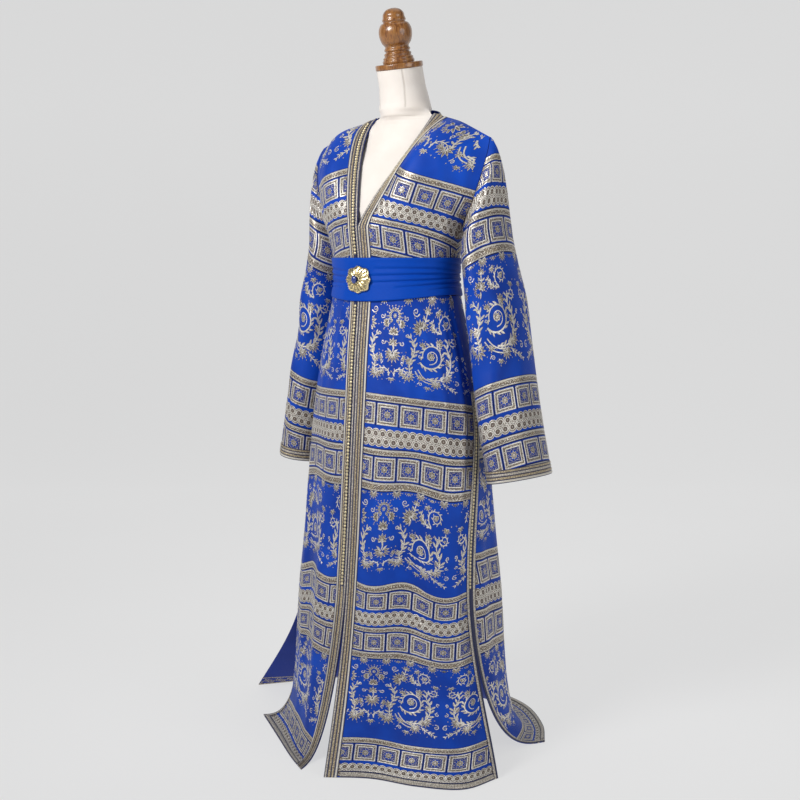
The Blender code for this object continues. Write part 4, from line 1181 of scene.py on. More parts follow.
class Motif:
    """Raised metal thread in flat metres, x across and y down, with its rise as z."""

    def __init__(self):
        self.points, self.faces = [], []

    def cap(self, outline, middle, rise=THREAD_RISE, pale=0.0):
        """A low pyramid over an outline. Pale marks thread that is bright all over."""
        start = len(self.points)
        self.points += [(x, y, THREAD_EDGE, pale) for x, y in outline]
        self.points.append((*middle, rise, pale))
        count = len(outline)
        self.faces += [(start + k, start + (k + 1) % count, start + count) for k in range(count)]

    def leaf(self, x, y, turn, length, width, pale=0.0):
        heading, half = math.radians(turn), 0.62 * width
        c, s = math.cos(heading), math.sin(heading)
        shape = ((0, 0.25), (0.35, 0.95), (0.70, 0.75), (1, 0), (0.70, -0.75), (0.35, -0.95), (0, -0.25))
        outline = [(x + c * a * length - s * b * half, y + s * a * length + c * b * half) for a, b in shape]
        self.cap(outline, (x + c * 0.5 * length, y + s * 0.5 * length), pale=pale)

    def dot(self, x, y, radius):
        outline = [(x + radius * math.cos(a), y + radius * math.sin(a)) for a in full_turn(6)]
        self.cap(outline, (x, y), STEM_RISE)

    def stem(self, line, width, taper=0.5):
        line = np.asarray(line, float)
        ahead = np.gradient(line, axis=0)
        ahead /= np.linalg.norm(ahead, axis=1, keepdims=True) + 1e-12
        side = np.stack([-ahead[:, 1], ahead[:, 0]], 1)
        q = np.linspace(0, 1, len(line))
        half = 0.62 * width * (1 - (1 - taper) * q)[:, None]
        start = len(self.points)
        for left, middle, right in zip(line - side * half, line, line + side * half):
            self.points += [(*left, THREAD_EDGE, 1.0), (*middle, STEM_RISE, 1.0), (*right, THREAD_EDGE, 1.0)]
        for k in range(start, start + 3 * (len(line) - 1), 3):
            self.faces += [(k, k + 1, k + 4, k + 3), (k + 1, k + 2, k + 5, k + 4)]
        return line, ahead

    def vine(self, line, width, leaf, gap, sides=(1, -1), turn=38.0):
        """A stem with leaves on its sides, larger along its middle."""
        line, ahead = self.stem(line, width)
        reach = reach_of(line)
        count = max(2, int(reach[-1] / (1.12 * gap)))
        for number in range(count):
            q = (number + 0.5) / count
            x, y, *way = read_rows(q * reach[-1], reach, np.hstack([line, ahead]))
            heading = math.degrees(math.atan2(way[1], way[0]))
            size = leaf * (0.72 + 0.28 * math.sin(math.pi * q))
            for side in sides:
                shift = 12.0 if number % 2 else -8.0
                self.leaf(x, y, heading + side * (turn + shift), size, size * 0.29, 0.8)

    def spray(self, x, y, turn, radius, lobes=7, spread=170.0):
        """A palmette: a full heart, pointed lobes longest in the middle, a dot past each."""
        for number in range(lobes):
            q = number / (lobes - 1) - 0.5
            length = radius * (1 - 0.8 * q * q)
            angle = turn + q * spread
            self.leaf(x, y, angle, length, radius * 1.8 / (lobes + 1))
            if number % 2 == 0:
                heading = math.radians(angle)
                self.dot(x + 1.1 * length * math.cos(heading), y + 1.1 * length * math.sin(heading), 0.0013)
        for side in (1, -1):
            self.leaf(x, y, turn + side * (spread / 2 + 28), radius * 0.68, radius * 0.16, 0.8)

    def curl(self, x, y, radius, turns=1.1, start=180.0, hand=1, leafy=0.0):
        """A scroll that rolls in to a bud, with leaves on its outside where it has any."""
        line = spiral((x, y), radius, radius * 0.22, turns, start, hand)
        if leafy:
            self.vine(line, 0.0022, leafy, leafy * 0.72, (-hand,), 36.0)
        else:
            self.stem(line, 0.0020)
        self.dot(*line[-1], radius * 0.2)

    def flower(self, x, y, radius, petals=6):
        for number in range(petals):
            self.leaf(x, y, 360.0 * number / petals, radius, radius * 0.5)

    def mirrored(self, middle):
        """The motif, its mirror image about x = 0 and the pieces on that line."""
        count = len(self.points)
        points = self.points + [(-x, *rest) for x, *rest in self.points] + middle.points
        faces = self.faces + [tuple(count + k for k in face[::-1]) for face in self.faces]
        return np.array(points), faces + [tuple(2 * count + k for k in face) for face in middle.faces]


def field_motif():
    """Half a repeat of the scrolling field, from the palmettes to the paired paisleys."""
    motif, middle = Motif(), Motif()
    # sprigs under the border
    for x in (0.026, 0.078, 0.130):
        motif.spray(x, 0.0025, 90.0, 0.0145, 7, 160.0)
        motif.dot(x - 0.019, 0.005, 0.0018)
        motif.dot(x + 0.019, 0.005, 0.0018)
        motif.spray(x + 0.026, 0.004, 90.0, 0.0065, 3, 90.0)
    # the rosette, and the palmettes one under another on the middle line
    for angle in range(-90, 60, 24):
        heading = math.radians(angle)
        x, y = 0.0070 * math.cos(heading), 0.0070 * math.sin(heading)
        target = motif if angle > -90 else middle
        target.leaf(x, 0.034 + y, angle, 0.0090, 0.0040)
        target.dot(2.5 * x, 0.034 + 2.5 * y, 0.0016)
    middle.flower(0.0, 0.034, 0.0050, 6)
    for values in MIDDLE_SPRAYS:
        middle.spray(0.0, *values)
    middle.stem(curve_through(((0.0, 0.088), (0.002, 0.094), (0.0, 0.102))), 0.0036)
    middle.dot(0.0, 0.145, 0.0022)
    for values in FIELD_SPRAYS:
        motif.spray(*values)
    for values in FIELD_CURLS:
        motif.curl(*values)
    for width, leaf, gap, *line in FIELD_VINES:
        motif.vine(curve_through(line), width, leaf, gap)
    for line in GARLAND:
        motif.stem(curve_through(line), 0.0022, 1.0)
    # the flower in the upper scroll, and the paisley
    motif.flower(0.115, 0.037, 0.0060, 6)
    motif.vine(spiral((0.085, 0.103), 0.0275, 0.0185, 0.95, 150.0, -1), 0.0036, 0.0150, 0.0080, (1,), 30.0)
    motif.flower(0.085, 0.103, 0.0095, 7)
    motif.dot(0.085, 0.103, 0.0026)
    for x, y in FIELD_DOTS:
        motif.dot(x, y, 0.0015)
    return motif.mirrored(middle)


def ring_motif():
    """One link of each row of rings, as thin raised wire."""
    motif = Motif()
    turn = np.linspace(0, 2 * math.pi, 13)
    for shift, drop in RING_ROWS:
        level = RINGS[1] / 2 + drop
        for radius, width in ((0.0096, 0.0016), (0.0058, 0.0020)):
            line = np.stack([shift + radius * np.cos(turn), level + radius * np.sin(turn)], 1)
            motif.stem(line, width, 1.0)
        motif.dot(shift, level, 0.0016)
    return np.array(motif.points), motif.faces


def square_motif(height):
    """The raised frame and flower of one woven square, about its middle."""
    motif = Motif()
    tall = (height / 2 - SQUARE_MARGIN) / SQUARE_HALF
    for half, width in ((0.0222, 0.0026), (0.0160, 0.0022)):
        corners = ((-1, -1), (1, -1), (1, 1), (-1, 1), (-1, -1))
        for first, last in zip(corners, corners[1:]):
            line = np.linspace(first, last, 6) * (half, half * tall)
            motif.stem(line, width, 1.0)
    motif.flower(0.0, 0.0, 0.0092, 8)
    motif.dot(0.0, 0.0, 0.0024)
    points = np.array(motif.points)
    points[:, 1] += height / 2
    return points, motif.faces


class Chart:
    """An even chart of a stretch of cloth, from place across and place down the
    pattern to a point and a normal, so that a flat motif can be laid on it."""

    step = 0.0025

    def __init__(self, cloth, first, last, closed=False):
        points, normals = cloth.points[first:last], cloth.normals[first:last]
        if closed:
            points, normals = shut(points), shut(normals)
        across, pattern = cloth.across[first:last], cloth.pattern[first:last]
        data = np.concatenate([points, normals, across[..., None]], 2)
        self.low = math.floor(pattern.min() / self.step) * self.step
        levels = np.arange(self.low, pattern.max(), self.step)
        level_data = np.empty((len(levels), data.shape[1], 7))
        inside = np.empty((len(levels), data.shape[1]), bool)
        for column in range(data.shape[1]):
            down = pattern[:, column]
            inside[:, column] = (levels >= down[0]) & (levels <= down[-1])
            level_data[:, column] = read_rows(levels, down, data[:, column])
        self.left = math.floor(across.min() / self.step) * self.step
        places = np.arange(self.left, across.max(), self.step)
        self.data = np.zeros((len(levels), len(places), 6))
        self.inside = np.zeros((len(levels), len(places)), bool)
        flip = across[0, 0] > across[0, -1]
        lower, upper = cloth.edges[::-1] if flip else cloth.edges
        for row in range(len(levels)):
            use = inside[row]
            if use.sum() < 3:
                continue
            line = level_data[row, use]
            line = line[::-1] if flip else line
            u = line[:, 6]
            self.data[row] = read_rows(places, u, line[:, :6])
            whole = level_data[row, ::-1, 6] if flip else level_data[row, :, 6]
            start = max(u[0], whole[0] + lower)
            end = min(u[-1], whole[-1] - upper)
            self.inside[row] = (places >= start) & (places <= end)

    def lay(self, points):
        """Points in space for flat ones, and which of them are on the cloth."""
        x = (points[:, 0] - self.left) / self.step
        y = (points[:, 1] - self.low) / self.step
        rows, cols = self.inside.shape
        on = (x >= 0) & (y >= 0) & (x < cols - 1) & (y < rows - 1)
        j, i = np.clip(x.astype(int), 0, cols - 2), np.clip(y.astype(int), 0, rows - 2)
        on &= self.inside[i, j] & self.inside[i + 1, j] & self.inside[i, j + 1] & self.inside[i + 1, j + 1]
        p, q = (x - j)[:, None], (y - i)[:, None]
        mix = (
            (1 - p) * (1 - q) * self.data[i, j] + p * (1 - q) * self.data[i, j + 1]
            + (1 - p) * q * self.data[i + 1, j] + p * q * self.data[i + 1, j + 1]
        )
        normal = mix[:, 3:] / (np.linalg.norm(mix[:, 3:], axis=1, keepdims=True) + 1e-9)
        return mix[:, :3] + normal * (CLOTH / 2 + points[:, 2:3]), on


def lay_pattern(name, cloth, material, closed=False, tile_start=TILE_START):
    """All the raised thread of one panel, joined into one piece."""
    field, rings = field_motif(), ring_motif()
    squares = {start: square_motif(height) for start, height in (SQUARES_TOP, SQUARES_LOW)}
    stretches = [(0, len(cloth.points))]
    if cloth.belt_row:
        stretches = [(0, cloth.belt_row), (cloth.belt_row, len(cloth.points))]
    points, rises, faces, total = [], [], [], 0
    for first, last in stretches:
        chart = Chart(cloth, first, last, closed)
        rows, cols = chart.inside.shape
        top, bottom = chart.low, chart.low + rows * chart.step
        left, right = chart.left, chart.left + cols * chart.step
        jobs = []
        for number in range(math.floor(top / PATTERN_REPEAT) - 1, math.ceil(bottom / PATTERN_REPEAT)):
            base = number * PATTERN_REPEAT
            first_tile = math.floor((left - tile_start) / TILE_WIDTH)
            for k in range(first_tile, math.ceil((right - tile_start) / TILE_WIDTH) + 1):
                jobs.append((field, tile_start + k * TILE_WIDTH, base + FIELD_START))
            for k in range(math.floor(left / RING_PITCH), math.ceil(right / RING_PITCH) + 1):
                jobs.append((rings, (k + 0.5) * RING_PITCH, base + RINGS[0]))
            for k in range(math.floor(left / SQUARE_PITCH) - 1, math.ceil(right / SQUARE_PITCH) + 1):
                for start, motif in squares.items():
                    jobs.append((motif, SQUARE_START + (k + 0.5) * SQUARE_PITCH, base + start))
        for (shape, links), x, y in jobs:
            if y > bottom or y + FIELD_HEIGHT < top:
                continue
            placed, on = chart.lay(shape + (x, y, 0.0, 0.0))
            if not on.any():
                continue
            kept = [face for face in links if all(on[k] for k in face)]
            points.append(placed)
            rises.append(shape[:, 2:] / (THREAD_RISE, 1.0))
            faces += [tuple(total + k for k in face) for face in kept]
            total += len(placed)
    points = np.concatenate(points)
    used = np.unique(np.concatenate([np.array(f) for f in faces]))
    place = np.full(len(points), -1)
    place[used] = np.arange(len(used))
    flip = cloth.across[0, 0] > cloth.across[0, -1]
    faces = [tuple(int(place[k]) for k in (face[::-1] if flip else face)) for face in faces]
    rises = np.concatenate(rises)[used]
    loops = np.concatenate([np.array(face) for face in faces])
    thing = add_mesh(name, points[used], faces, [material], rises[loops])
    return thing


def ridged(braid):
    """Places across a braid and its height there: a rounded ridge for each strip of thread."""
    width, zones = braid
    rows = [(0.0, 0.4), (0.2, 1.0)]
    for start, end, tone in zones:
        if tone == "low":
            continue
        soft = min(0.8, (end - start) / 4)
        rows += [(start, 1.0), (start + 0.35 * soft, 1.5), (start + soft, 1.95), ((start + end) / 2, 2.15),
                 (end - soft, 1.95), (end - 0.35 * soft, 1.5), (end, 1.0)]
    rows += [(width - 0.2, 1.0), (width, 0.4)]
    return np.array(rows).T * MM


def band_from(name, points, normals, braid, material, closed=False, spread=None):
    """A braid along an edge. Points are (stations, steps in from the edge, 3), and spread
    is how much wider it lies at each station."""
    reach = reach_along(points, 1)
    places, rises = ridged(braid)
    both = np.concatenate([points, normals], 2)
    spread = np.ones(len(points)) if spread is None else spread
    grid = np.array([read_rows(places * s, r, line) for s, r, line in zip(spread, reach, both)])
    out = unit(grid[..., 3:])
    top = grid[..., :3] + out * (CLOTH / 2 + rises)[None, :, None]
    under = grid[..., :3] + out * (CLOTH / 2 + 0.2 * MM)
    top[..., 2] = np.maximum(top[..., 2], 1.2 * MM)
    run = reach_along(grid[..., :3], 0).mean(1)
    uvs = np.stack(np.broadcast_arrays(places[None, :], run[:, None]), -1)
    across, down = np.gradient(grid[..., :3], axis=1), np.gradient(grid[..., :3], axis=0)
    middle = (len(grid) // 2, len(places) // 2)
    if np.dot(np.cross(down[middle], across[middle]), out[middle]) < 0:
        top, under, uvs = top[:, ::-1], under[:, ::-1], uvs[:, ::-1]
    if closed:
        uvs = np.concatenate([uvs, uvs[:1]], 0)
        top, under, uvs = (a.swapaxes(0, 1)[::-1] for a in (top, under, uvs))
    thing = wall(name, top, under, uvs, [material], closed)
    return stands_for(thing, name.removeprefix("braid_"))


def ball(sides, rows):
    """A small knot: a flattened ball with turned ridges."""
    points, faces = [(0.0, 0.0, 1.0)], []
    for i in range(1, rows):
        tilt = math.pi * i / rows
        for j in range(sides):
            turn = 2 * math.pi * (j + 0.5 * i) / sides
            ridge = 1.0 + 0.12 * math.cos(3 * turn + 5 * tilt)
            wide = ridge * math.sin(tilt)
            points.append((wide * math.cos(turn), wide * math.sin(turn), math.cos(tilt)))
    points.append((0.0, 0.0, -1.0))
    last = len(points) - 1
    for j in range(sides):
        k = (j + 1) % sides
        faces.append((0, 1 + j, 1 + k))
        faces.append((last, last - sides + k, last - sides + j))
        for i in range(rows - 2):
            a, b = 1 + i * sides, 1 + (i + 1) * sides
            faces.append((a + j, b + j, b + k, a + k))
    return np.array(points), faces


def scatter(name, shape, places, frames, sizes, material):
    """Copies of a small shape, each in its own frame, joined into one piece."""
    points, links = shape
    made, faces = [], []
    for number, (place, frame) in enumerate(zip(places, frames)):
        made.append(place + (points * sizes * MM) @ frame)
        faces += [tuple(number * len(points) + k for k in face) for face in links]
    return add_mesh(name, np.concatenate(made), faces, [material])


def edge_strip(cloth, column, first=0, last=None):
    """Points and normals of the columns beside an edge of the cloth, from the edge in."""
    order = slice(None) if column == 0 else slice(None, None, -1)
    return tuple(grid[first:last, order][:, :EDGE_COLUMNS] for grid in (cloth.points, cloth.normals))


def knots(name, cloth, column, first, last, kind, material):
    """A row of knotted buttons beside an edge of the cloth, from row to row."""
    inset, sizes, rise = kind
    points, normals = edge_strip(cloth, column, first, last)
    both = np.concatenate([points, normals], 2)
    line = np.array([read_rows(inset, r, row) for r, row in zip(reach_along(points, 1), both)])
    run = reach_of(line[:, :3])
    read = read_rows(np.arange(KNOT_PITCH / 2, run[-1], KNOT_PITCH), run, line)
    ahead = unit(np.gradient(read[:, :3], axis=0))
    out = unit(read[:, 3:])
    frames = np.stack([ahead, np.cross(out, ahead), out], 1)
    places = read[:, :3] + out * (CLOTH / 2 + rise)
    thing = scatter(name, ball(9, 6), places, frames, sizes, material)
    return stands_for(thing, name.removeprefix("knots_"))


def row_at(cloth, column, height):
    return int(np.argmax(cloth.points[:, column, 2] < height))


def cut_sheet(grid, closed):
    """Works out the width and length of the cut that a sheet's middle surface unrolls to, and keeps neither.
    """
    grid = shut(grid) if closed else grid
    one, other = grid[1:, 1:] - grid[:-1, :-1], grid[1:, :-1] - grid[:-1, 1:]
    width = float(reach_along(grid, 1)[:, -1].max())
    length = float(reach_along(grid, 0)[-1].max())


def dress_cloth(name, cloth, materials, closed=False):
    uvs = np.stack([cloth.across, cloth.pattern], -1)
    thing = wall(f"cloth_{name}", cloth.face(1), cloth.face(-1), uvs, materials, closed)
    return stands_for(thing, name)


def build_belt(material):
    sides, rows = 288, 64
    angles = np.linspace(0.0, 360.0, sides, endpoint=False)
    from_front = np.abs((angles + 180.0) % 360.0 - 180.0)
    over_trim = np.clip((26.0 - from_front) / 12.0, 0.0, 1.0)
    rest = CLOTH / 2 + 1.3 * MM + eased(over_trim) * 1.5 * MM
    lift = BELT_SIDE_LIFT * np.sin(np.radians(from_front)) ** 2
    outer, inner = [], []
    for share in np.linspace(0.0, 1.0, rows):
        height = BELT_TOP + (BELT_BOTTOM + lift - BELT_TOP) * share
        ring = body_point(angles, height)
        away = unit(ring * (1, 1, 0))
        dent = np.zeros(sides)
        for middle, depth, width, drift, start, end in BELT_PLEATS:
            q = (angles - start) / (end - start)
            line = middle + drift * (q - 0.5) + 0.010 * np.sin(np.radians(angles * 3 + middle * 400))
            fade = np.where((q > 0) & (q < 1), np.sin(np.clip(q, 0, 1) * math.pi) ** 0.35, 0.0)
            gap = (share - line) / width
            dent = dent + depth * fade * (np.exp(-(gap**2)) - 0.45 * np.exp(-((gap + 2.2) ** 2) / 3))
        edge = 1.0 - 0.42 * max(0.0, 1 - min(share, 1 - share) / 0.035) ** 2
        full = (3.7 * edge - dent) * MM
        inner.append(ring + away * (rest + 0.2 * MM)[:, None])
        outer.append(ring + away * (rest + np.maximum(full, 1.0 * MM))[:, None])
    outer, inner = np.array(outer), np.array(inner)
    around = reach_along(shut(outer), 1)
    down = np.linspace(0.0, BELT_TOP - BELT_BOTTOM, rows)[:, None]
    uvs = np.stack(np.broadcast_arrays(around, down), -1)
    thing = wall("belt_satin", outer, inner, uvs, [material], closed=True)
    stands_for(thing, "belt")
    cut_sheet((outer + inner) / 2, True)


def lathe(name, profile, sides, material, place=(0, 0, 0), tilt=0.0, smoothing=0):
    """A turned solid from (radius, height) rows, bottom to top."""
    rows = np.array(profile, float)
    if smoothing:
        reach = reach_of(rows)
        fine = np.linspace(0, reach[-1], len(rows) * smoothing)
        rows = smooth([(r, *p) for r, p in zip(reach, rows)], fine)
    points = np.array([(r * math.cos(a), r * math.sin(a), h) for r, h in rows for a in full_turn(sides)])
    c, s = math.cos(math.radians(tilt)), math.sin(math.radians(tilt))
    turned = points @ np.array(((1, 0, 0), (0, c, s), (0, -s, c)))
    return add_mesh(name, turned + np.array(place), stacked_rings(len(rows), sides), [material])


def on_neck(height):
    """The place on the tilted neck at a height above its top."""
    tilt = math.radians(NECK_TILT)
    x, y, z = NECK_TOP
    return (x, y - height * math.sin(tilt), z + height * math.cos(tilt))


def shoulder_height(half_width):
    seam = [(row[0], row[1]) for row in FRONT_YOKE]
    fine = smooth(seam, np.linspace(0, 1, 60))
    return float(np.interp(half_width, fine[:, 0], fine[:, 2]))


def form_ring(height, half, front, back, pinch, tilt, turn):
    middle = (front + back) / 2
    depth = (back - front) / 2
    thick = np.abs(np.cos(turn)) ** (2 * pinch)
    y = middle - depth * thick * np.sign(np.cos(turn))
    z = height + (y - middle) * math.tan(math.radians(tilt))
    return np.stack([half * np.sin(turn), y, z], -1)


def build_form(canvas, wood, paint):
    sides = 160
    turn = full_turn(sides)
    under = CLOTH / 2 + FORM_EASE
    shoulder = [(shoulder_height(row[0]) - under, *row, 0.0) for row in FORM_SHOULDER]
    rows = np.array([*FORM_BODY, *shoulder, *FORM_NECK])
    fine = []
    for low, high in zip(rows, rows[1:]):
        fine += [low + (high - low) * q for q in np.linspace(0, 1, 4, endpoint=False)]
    rings = [form_ring(*row, turn) for row in (*fine, rows[-1])]
    points = np.array(rings).reshape(-1, 3)
    torso = add_mesh("form_cover", points, stacked_rings(len(rings), sides), [canvas])
    stands_for(torso, "form_torso")

    rim, soft = 2 * MM, 0.6 * MM
    cap = (
        (CAP_RADIUS - rim, 0), (CAP_RADIUS - 0.4 * MM, soft), (CAP_RADIUS, rim),
        (CAP_RADIUS, CAP_HEIGHT - rim), (CAP_RADIUS - soft, CAP_HEIGHT - soft),
        (CAP_RADIUS - rim, CAP_HEIGHT),
    )
    disc = lathe("neck_disc", cap, 96, wood, on_neck(0.0003), NECK_TILT)
    stands_for(disc, "form_cap")
    top_piece = lathe("turned_finial", FINIAL, 96, wood, on_neck(CAP_HEIGHT + 0.0006), NECK_TILT, 5)
    stands_for(top_piece, "form_finial")

    collar = POLE_RADIUS + 0.004
    profile = (
        (POLE_RADIUS, BASE_HEIGHT + 0.0003), (collar, BASE_HEIGHT + 0.002), (collar, BASE_HEIGHT + 0.03),
        (POLE_RADIUS, BASE_HEIGHT + 0.034), (POLE_RADIUS, FORM_BODY[0][0] - 0.0003),
    )
    stands_for(lathe("stand_pole", profile, 48, paint), "form_pole")
    profile = (
        (BASE_RADIUS - 0.002, 0.0), (BASE_RADIUS, 0.002), (BASE_RADIUS, BASE_HEIGHT - 0.006),
        (BASE_RADIUS - 0.002, BASE_HEIGHT - 0.002), (BASE_RADIUS - 0.006, BASE_HEIGHT - 0.0005),
        (BASE_RADIUS - 0.03, BASE_HEIGHT),
    )
    stands_for(lathe("stand_base", profile, 96, paint), "form_base")


def build_brooch(chased, gilt, stone):
    """A chased disc with eight lobes and its petals, three rings of beads and an oval stone."""
    low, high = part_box("brooch")
    back, middle = high.y, (low.z + high.z) / 2
    sides, rings = 192, 30
    turn = full_turn(sides)
    lobes = 1 + 0.05 * np.cos(8 * turn) + 0.035 * np.cos(4 * turn + math.pi)
    points = []
    for q in np.linspace(0.0, 1.0, rings):
        radius = BROOCH_RADIUS * (0.22 + 0.78 * q) * (1 + (lobes - 1) * q)
        petals = np.abs(np.cos(8 * turn)) ** 0.5 * 1.6 * np.sin(math.pi * q)
        fine = np.cos(32 * turn) * 0.35 * np.sin(math.pi * min(1, q * 1.3)) ** 2
        dome = 9.0 - 6.2 * q**1.6 + (1.2 if q < 0.12 else 0.0)
        rim = 1 - max(0.0, q - 0.93) / 0.07 * 0.75
        rise = (dome + petals + fine) * MM * rim
        x, z = 1.1 * radius * np.cos(turn), middle + radius * np.sin(turn)
        points.append(np.stack([x, back - rise, z], -1))
    outer = np.array(points)
    under = outer.copy()
    under[..., 1] = back
    uvs = np.stack(np.meshgrid(np.linspace(2 * math.pi, 0, sides + 1), np.linspace(0.0, 1.0, rings)), -1)
    disc = wall("brooch_disc", outer[:, ::-1], under[:, ::-1], uvs, [chased], closed=True)
    stands_for(disc, "brooch")

    places = []
    for count, radius, rise in ((24, 0.0128, 10.2), (32, 0.0272, 4.2), (16, 0.0200, 8.6)):
        for a in full_turn(count):
            wide = radius * (1 + 0.07 * math.cos(8 * a) * (radius / BROOCH_RADIUS))
            places.append((1.1 * wide * math.cos(a), back - rise * MM, middle + wide * math.sin(a)))
    frames = [np.eye(3)] * len(places)
    beads = scatter("brooch_beads", ball(8, 6), np.array(places), frames, np.array((1.1, 1.1, 1.1)), gilt)

    _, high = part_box("brooch_gem")
    rings, sides = 14, 48
    points = []
    for tilt in np.linspace(0, math.pi / 2, rings):
        for a in full_turn(sides):
            x, z = math.cos(tilt) * math.cos(a), math.cos(tilt) * math.sin(a)
            points.append((
                GEM_SHIFT + GEM_SIZE[0] * x, high.y - GEM_SIZE[2] * math.sin(tilt), middle + GEM_SIZE[1] * z,
            ))
    # the topmost ring is a single point, so the stone needs no face there
    gem = add_mesh("brooch_stone", points, stacked_rings(rings, sides)[:-1], [stone])
    stands_for(gem, "brooch_gem")


def from_camera(right, forward, height):
    """A point by its way right of, past and above the middle of the floor, as the camera sees it."""
    c, s = math.cos(math.radians(CAMERA_AZIMUTH)), math.sin(math.radians(CAMERA_AZIMUTH))
    return (right * c - forward * s, right * s + forward * c, height)


def build_stage():
    """A pale floor that curves up into a backdrop, on the camera's axis."""
    turn = np.linspace(0, math.pi / 2, 24)
    radius, reach, width = 2.0, 3.2, 9.0
    profile = [(-7.0, 0.0)] + [(reach + radius * math.sin(a), radius - radius * math.cos(a)) for a in turn]
    profile.append((reach + radius, 7.0))
    points = [from_camera(side, far, height) for far, height in profile for side in (-width, width)]
    faces = [(k, k + 1, k + 3, k + 2) for k in range(0, len(points) - 2, 2)]
    finish = Finish("stage_paper", Roughness=0.9, Specular_IOR_Level=0.1, Emission_Strength=1.0)
    tone = finish.noise(finish.place(), 1.5, 2.0)
    paper = finish.blend(tone, (0.22, 0.22, 0.22), (0.24, 0.24, 0.24))
    mesh = bpy.data.meshes.new("stage_floor")
    mesh.from_pydata(points, [], faces)
    mesh.materials.append(finish.set(Base_Color=paper, Emission_Color=(0.605, 0.605, 0.605, 1.0)))
    mesh.shade_smooth()
    add_object("stage_floor", mesh)


def add_light(name, place, aim, size, power, spread=180.0):
    data = bpy.data.lights.new(name, "AREA")
    data.shape, data.size, data.energy, data.spread = "DISK", size, power, math.radians(spread)
    lamp = add_object(name, data)
    lamp.location = place
    x, y, z = np.array(aim, float) - np.array(place, float)
    lamp.rotation_euler = (
        math.pi / 2 + math.atan2(z, math.hypot(x, y)), 0.0, math.atan2(y, x) - math.pi / 2,
    )


def build_lights():
    add_light("key", from_camera(-1.9, -1.9, 2.6), (0, 0, 1.30), 1.3, 16.5, 76.0)
    add_light("fill", from_camera(2.8, -2.6, 1.9), (0, 0, 1.15), 2.4, 14.0, 110.0)
    add_light("top", from_camera(0.2, 0.4, 4.2), (0, 0, 0.6), 3.0, 14.0)
    world = bpy.data.worlds.new("studio")
    world.use_nodes = True
    background = world.node_tree.nodes["Background"]
    background.inputs["Color"].default_value = (0.95, 0.97, 1.0, 1.0)
    background.inputs["Strength"].default_value = 0.16
    bpy.context.scene.world = world
    bpy.context.scene.view_settings.view_transform = "Standard"


def build_camera():
    data = bpy.data.cameras.new("camera")
    data.lens, data.sensor_width = CAMERA_LENS, SENSOR_WIDTH
    camera = add_object("camera", data)
    camera.location = from_camera(*CAMERA_PLACE)
    camera.rotation_euler = (math.radians(90.0 - CAMERA_PITCH), 0.0, math.radians(CAMERA_AZIMUTH))
    bpy.context.scene.camera = camera


def rows_in(cloth, count, columns=slice(None)):
    """Points and normals of the last rows of some columns, from the cloth's end in."""
    return tuple(grid[::-1][:count, columns].swapaxes(0, 1) for grid in (cloth.points, cloth.normals))


def hem(name, cloth, braid):
    """The braid along a hem, between the trims of the panel's two edges."""
    left, right = cloth.edges
    reach = reach_of(cloth.points[-1])
    inside = (reach > left + 0.0004) & (reach < reach[-1] - right - 0.0004)
    return band_from(name, *rows_in(cloth, HEM_ROWS, inside), *braid)


def dress_panels(panels, braids, finishes, motif):
    """The fronts and the back, and what is sewn on each: its raised thread and braids."""
    names = {"left": "front_left", "right": "front_right", "back": "back"}
    pieces, on_it = {}, {}
    for panel, cloth in panels.items():
        pieces[panel] = dress_cloth(names[panel], cloth, finishes)
        on_it[panel] = [lay_pattern(f"pattern_{names[panel]}", cloth, motif)]

    for panel, middle, seam in (("left", 0, -1), ("right", -1, 0)):
        cloth = panels[panel]
        points, normals = edge_strip(cloth, middle)
        lapel = None
        if panel == "left":
            lapel = 1 + LAPEL_EXTRA * np.clip((points[:, 0, 2] - CHEST_LEVEL - 0.02) / 0.06, 0, 1)
        front = band_from(f"braid_trim_front_{panel}", points, normals, *braids[panel], spread=lapel)
        strip = edge_strip(cloth, seam, row_at(cloth, seam, SIDE_TRIM_TOP))
        side = band_from(f"braid_trim_side_front_{panel}", *strip, *braids["side"])
        on_it[panel] += [front, side, hem(f"braid_trim_hem_{panel}", cloth, braids["hem"])]

    back = panels["back"]
    for word, column in (("left", 0), ("right", -1)):
        strip = edge_strip(back, column, row_at(back, column, SIDE_TRIM_TOP))
        on_it["back"].append(band_from(f"braid_trim_side_back_{word}", *strip, *braids["side"]))
    on_it["back"].append(hem("braid_trim_hem_back", back, braids["hem"]))
    neck = np.abs(np.linspace(1, -1, BACK_COLUMNS)) <= BACK_NECK_SHARE
    strip = (grid[:NECK_ROWS, neck].swapaxes(0, 1) for grid in (back.points, back.normals))
    on_it["back"].append(band_from("braid_trim_back_neck", *strip, *braids["neck"]))
    return pieces, on_it


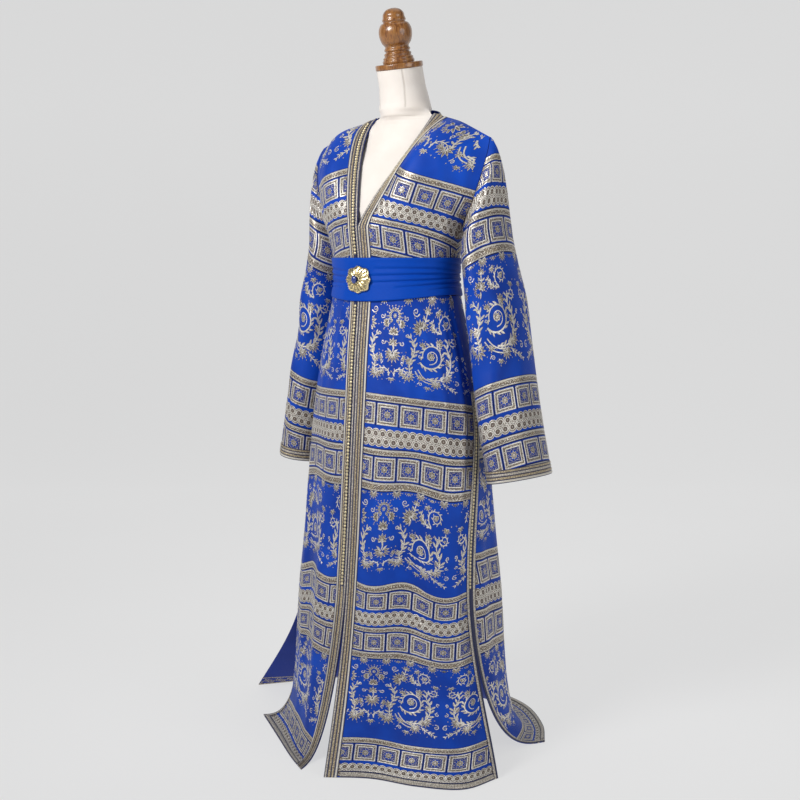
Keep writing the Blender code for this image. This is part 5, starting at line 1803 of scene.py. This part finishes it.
def add_buttons(panels, on_it, knot):
    """The column of knots down the right front's edge, and a row above each side slit."""
    right = panels["right"]
    above, below = row_at(right, -1, BELT_TOP + 0.004), row_at(right, -1, BELT_BOTTOM - 0.004)
    for word, first, last in (("upper", 4, above), ("lower", below, row_at(right, -1, SLIT_LEVEL))):
        name = f"knots_buttons_front_{word}"
        on_it["right"].append(knots(name, right, -1, first, last, FRONT_KNOT, knot))
    for word, seam in (("left", -1), ("right", 0)):
        cloth = panels[word]
        first, last = row_at(cloth, seam, SIDE_TRIM_TOP), row_at(cloth, seam, SLIT_LEVEL)
        on_it[word].append(knots(f"knots_buttons_side_{word}", cloth, seam, first, last, SIDE_KNOT, knot))


def dress_sleeve(word, side, braids, finishes, motif):
    cloth = sleeve_cloth(side)
    sleeve = dress_cloth(f"sleeve_{word}", cloth, finishes, closed=True)
    pattern = lay_pattern(f"pattern_sleeve_{word}", cloth, motif, True, SLEEVE_TILE_START[word])
    strip = rows_in(cloth, CUFF_ROWS)
    cuff = band_from(f"braid_trim_cuff_{word}", *strip, *braids["cuff"], closed=True)
    cut_sheet(cloth.points, True)


def main():
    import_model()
    build_camera()
    build_stage()
    build_lights()

    finishes = [brocade_finish("brocade"), lining_finish("lining")]
    motif, knot = motif_finish("metal_thread"), knot_finish("knot_gold")
    panels = {name: panel_cloth(name) for name in ("left", "right", "back")}
    run = reach_along(panels["right"].points[:, -8:], 0).mean(1)
    slit_run = float(run[row_at(panels["right"], -1, SLIT_LEVEL)])
    tables = {
        "left": FRONT_LEFT_BRAID, "right": FRONT_RIGHT_BRAID, "side": SIDE_BRAID,
        "hem": HEM_BRAID, "cuff": CUFF_BRAID, "neck": NECK_BRAID,
    }
    braids = {
        name: (table, braid_finish(f"braid_{name}", table[1], slit_run)) for name, table in tables.items()
    }
    pieces, on_it = dress_panels(panels, braids, finishes, motif)
    for word, side in (("left", 1), ("right", -1)):
        dress_sleeve(word, side, braids, finishes, motif)
    add_buttons(panels, on_it, knot)
    for panel, cloth in panels.items():
        cut_sheet(cloth.points, False)

    build_belt(satin_finish("belt_satin"))
    build_brooch(gilt_finish("gilt_chased", True), gilt_finish("gilt"), gem_finish("gem_stone"))
    build_form(canvas_finish("form_canvas"), wood_finish("turned_wood"), paint_finish("stand_paint"))


main()
